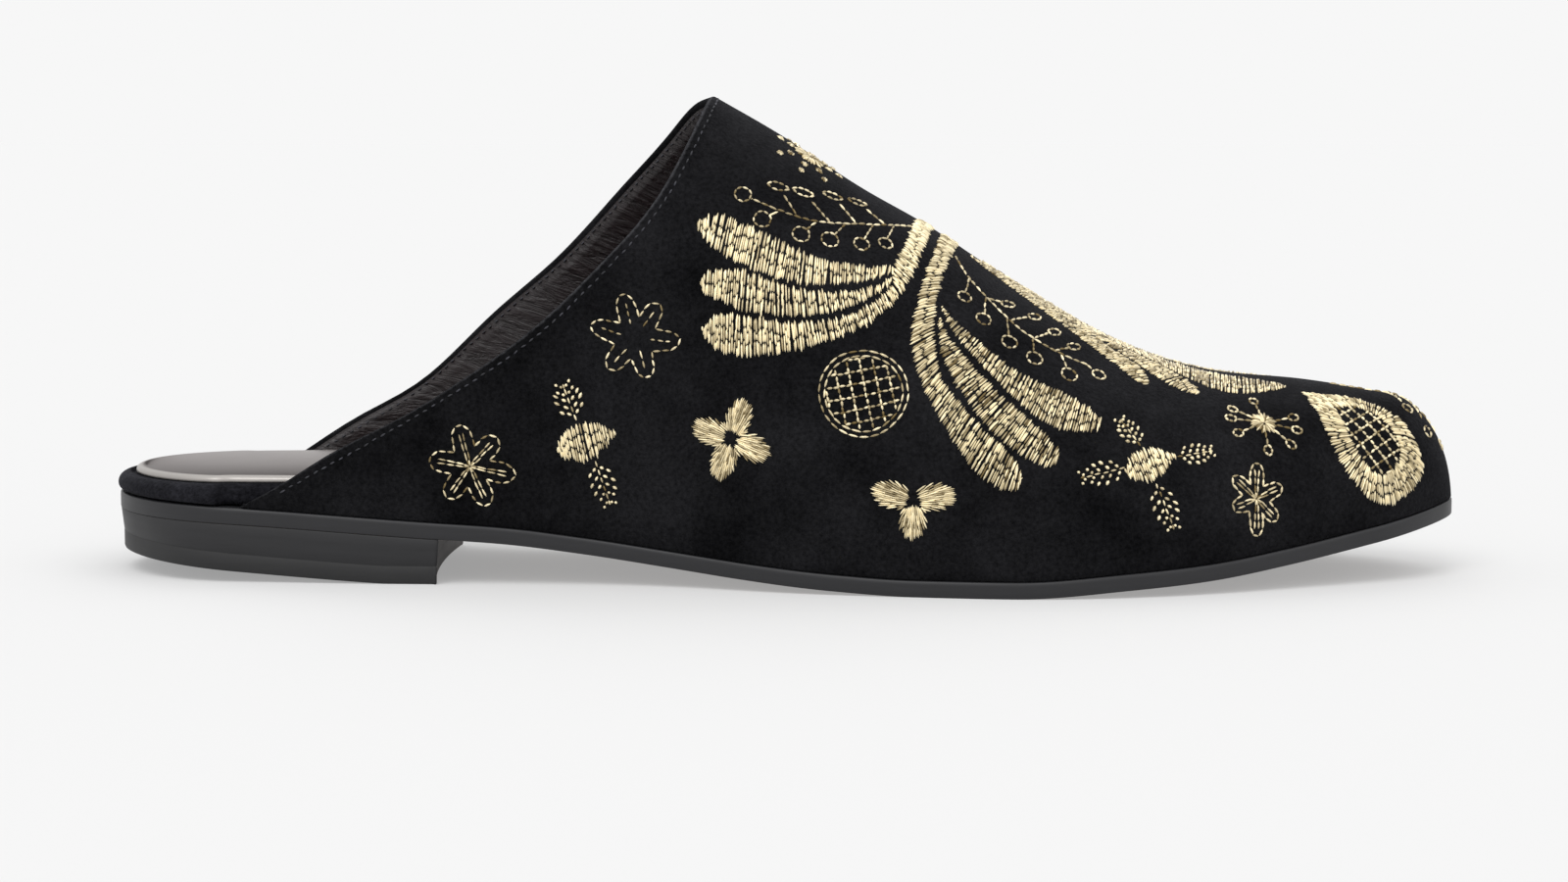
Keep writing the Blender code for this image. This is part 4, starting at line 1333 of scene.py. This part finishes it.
def strandMesh(name, strands, sign, material, sunk=0.0):
    # rounded open strips, their ends drawn down into the suede, or sunk to the wall's inner face
    profile = np.array([(-1, -0.25), (-0.74, 0.62), (0, 1.0), (0.74, 0.62), (1, -0.25)])
    strands = np.array(strands)
    start, end = strands[:, 0:2], strands[:, 2:4]
    span = np.linalg.norm(onUpper(end, sign)[0] - onUpper(start, sign)[0], axis=-1)
    vertices, faces, tints = [], [], []
    offset = 0
    for low, high, stations in ((0, embroidery["long"], 4), (embroidery["long"], math.inf, 6)):
        chosen = (span >= low) & (span < high)
        if not chosen.any():
            continue
        count = chosen.sum()
        dip = embroidery["dip"] / np.maximum(span[chosen], embroidery["dip"])
        dip = np.minimum(dip, 0.3)[:, None]
        inside = dip + (1 - 2 * dip) * np.linspace(0, 1, stations - 2)[None, :]
        t = np.concatenate([np.zeros((count, 1)), inside, np.ones((count, 1))], axis=1)
        place = start[chosen][:, None, :] + (end - start)[chosen][:, None, :] * t[..., None]
        points, normals = onUpper(place, sign)
        if sunk:
            points, normals = points - normals * sunk, -normals
        tangent = unit(np.gradient(points, axis=1))
        across = unit(np.cross(normals, tangent))
        scale = np.ones(stations)
        scale[[0, -1]] = 0.2
        lift = np.ones(stations)
        lift[[0, -1]] = 0.15
        width = embroidery["thread"] / 2 * strands[chosen, 4][:, None] * scale
        height = embroidery["height"] * strands[chosen, 5][:, None] * lift
        shape = (
            points[:, :, None, :]
            + across[:, :, None, :] * (width[:, :, None] * profile[:, 0])[..., None]
            + normals[:, :, None, :] * (height[:, :, None] * profile[:, 1])[..., None]
        )
        vertices.append(shape.reshape(-1, 3))
        # painted glint: a random tint for each strand, raised by its shape's tone
        tint = np.clip(rng.uniform(0, 1, count) + strands[chosen, 6], 0, 1.2)
        tints.append(np.repeat(tint, stations * 5))
        base = offset + np.arange(count)[:, None, None] * stations * 5
        k = np.arange(stations - 1)[None, :, None] * 5
        j = np.arange(4)[None, None, :]
        corner = base + k + j
        quads = np.stack([corner, corner + 5, corner + 6, corner + 1], axis=-1).reshape(-1, 4)
        faces.append(quads)
        offset += count * stations * 5
    vertices = (np.concatenate(vertices) + frameShift) * mm
    mesh = bpy.data.meshes.new(name)
    mesh.from_pydata(vertices.tolist(), [], np.concatenate(faces).tolist())
    mesh.shade_smooth()
    mesh.attributes.new("tint", "FLOAT", "POINT").data.foreach_set("value", np.concatenate(tints))
    piece = bpy.data.objects.new(name, mesh)
    bpy.context.scene.collection.objects.link(piece)
    return dress(piece, material)


outerSideGold = strandMesh("goldEmbroideryOuterSide", lateral, 1, goldThread)
strandMesh("goldEmbroideryInnerSide", lateral, -1, goldThread)
strandMesh("goldEmbroideryRidge", middleKit, 1, goldThread)
print("embroidery", len(lateral), "strands and", len(outerSideGold.data.polygons), "faces a side")

# collar stitching: one row of charcoal thread inside the folded edge, shown on both faces
collarRow = {"fromEdge": 1.7, "stitch": 1.1, "gap": 0.8, "width": 0.85, "sunk": 1.8}


def collarPlaces(distance, side):  # (x, g) of the points that far inside the edge on one side
    places = []
    for point in awayFromEdge(distance)[sides == side]:
        x = point[0] - embroidery["ahead"]
        down = np.linspace(0, np.interp(point[0], mapX, lateralGirth), 500)
        tried = np.stack([x + 0 * down, down], axis=-1)
        away = ((onUpper(tried, -side)[0] - point) ** 2).sum(-1)
        places.append(tried[away.argmin()])
    return np.array(places)


for rowName, side in (("OuterSide", -1), ("InnerSide", 1)):
    collarKit = []
    line = smoothPath(collarPlaces(collarRow["fromEdge"], side)[1:-1:6], 400)
    runStitch(collarKit, line, collarRow["stitch"], collarRow["gap"], collarRow["width"])
    for name, sunk in ("collarStitches", 0), ("collarStitchesInside", collarRow["sunk"]):
        strandMesh(name + rowName, collarKit, -side, darkThread, sunk)

# Studio: pale floor, soft lights, the photograph's camera
camera = {
    "azimuth": 2.1158,
    "elevation": 6.0713,
    "distance": 700.0,
    "scale": 5.1021,  # pixels per millimetre of a picture 1600 by 900
    "middle": (800, 450),
    "origin": (797.4, 579.39),  # where the frame's origin falls
    "sensor": 36,
}


def placeCamera():
    turn, lift = math.radians(camera["azimuth"]), math.radians(camera["elevation"])
    ahead = math.cos(lift)
    forward = Vector((-math.sin(turn) * ahead, math.cos(turn) * ahead, -math.sin(lift)))
    right = Vector((math.cos(turn), math.sin(turn), 0))
    up = right.cross(forward)
    offsets = np.subtract(camera["middle"], camera["origin"]) / camera["scale"]
    target = right * offsets[0] - up * offsets[1]
    data = bpy.data.cameras.new("studioCamera")
    data.sensor_width = camera["sensor"]
    data.lens = camera["scale"] * camera["distance"] / (2 * camera["middle"][0]) * camera["sensor"]
    data.clip_start = 0.01
    placed = bpy.data.objects.new("studioCamera", data)
    bpy.context.scene.collection.objects.link(placed)
    turned = Matrix((right, up, -forward)).transposed().to_4x4()
    turned.translation = (target - forward * camera["distance"]) * mm
    placed.matrix_world = turned
    bpy.context.scene.camera = placed


placeCamera()
studio = {  # suns are given as direction from the shoe, softness in degrees and strength
    "world": "#f7f7f7",
    "size": 8,  # metres
    "floor": 0.42,  # share of the light that the sweep scatters
    "glow": 0.34,  # brightness that shines through it from below, as a share of the background's
    "sunlight": 0.571,  # light of the three suns on the floor, in the same measure
    "suns": {
        "key": ((-0.45, -0.9, 1.5), 35, 0.5),
        "fill": ((0.8, -0.5, 1.2), 60, 0.2),
        "rear": ((0.1, 0.9, 0.9), 50, 0.25),
    },
}
bpy.ops.mesh.primitive_plane_add(size=studio["size"], location=(0, 0, 0))
floor = bpy.context.object
floor.name = "floor"
floorAcrylic, _, shadeFloor = newMaterial("litOpalAcrylic")
# opal acrylic sheet lit partly from below, as bright in these lights as the background
background = linear(studio["world"])[0]
opal = (*[studio["floor"]] * 3, 1)
shadeFloor({
    "Base Color": opal, "Roughness": 1.0, "Specular IOR Level": 0.0,
    "Emission Color": (1, 1, 1, 1), "Emission Strength": studio["glow"] * background,
})
floor.data.materials.append(floorAcrylic)
world = bpy.context.scene.world or bpy.data.worlds.new("studio")
bpy.context.scene.world = world
world.use_nodes = True
world.node_tree.nodes["Background"].inputs["Color"].default_value = linear(studio["world"])
world.node_tree.nodes["Background"].inputs["Strength"].default_value = 1.0
onFloor = 0
for sunName, (direction, softness, strength) in studio["suns"].items():
    bpy.ops.object.light_add(type="SUN", location=Vector(direction))
    lamp = bpy.context.object
    lamp.name = sunName
    lamp.data.angle = math.radians(softness)
    lamp.rotation_euler = Vector(direction).to_track_quat("Z", "Y").to_euler()
    onFloor += strength * Vector(direction).normalized().z
for sunName, (direction, softness, strength) in studio["suns"].items():
    wanted = background * studio["sunlight"] * math.pi / onFloor
    bpy.data.objects[sunName].data.energy = strength * wanted
bpy.context.scene.view_settings.view_transform = "Standard"
print("studio set")
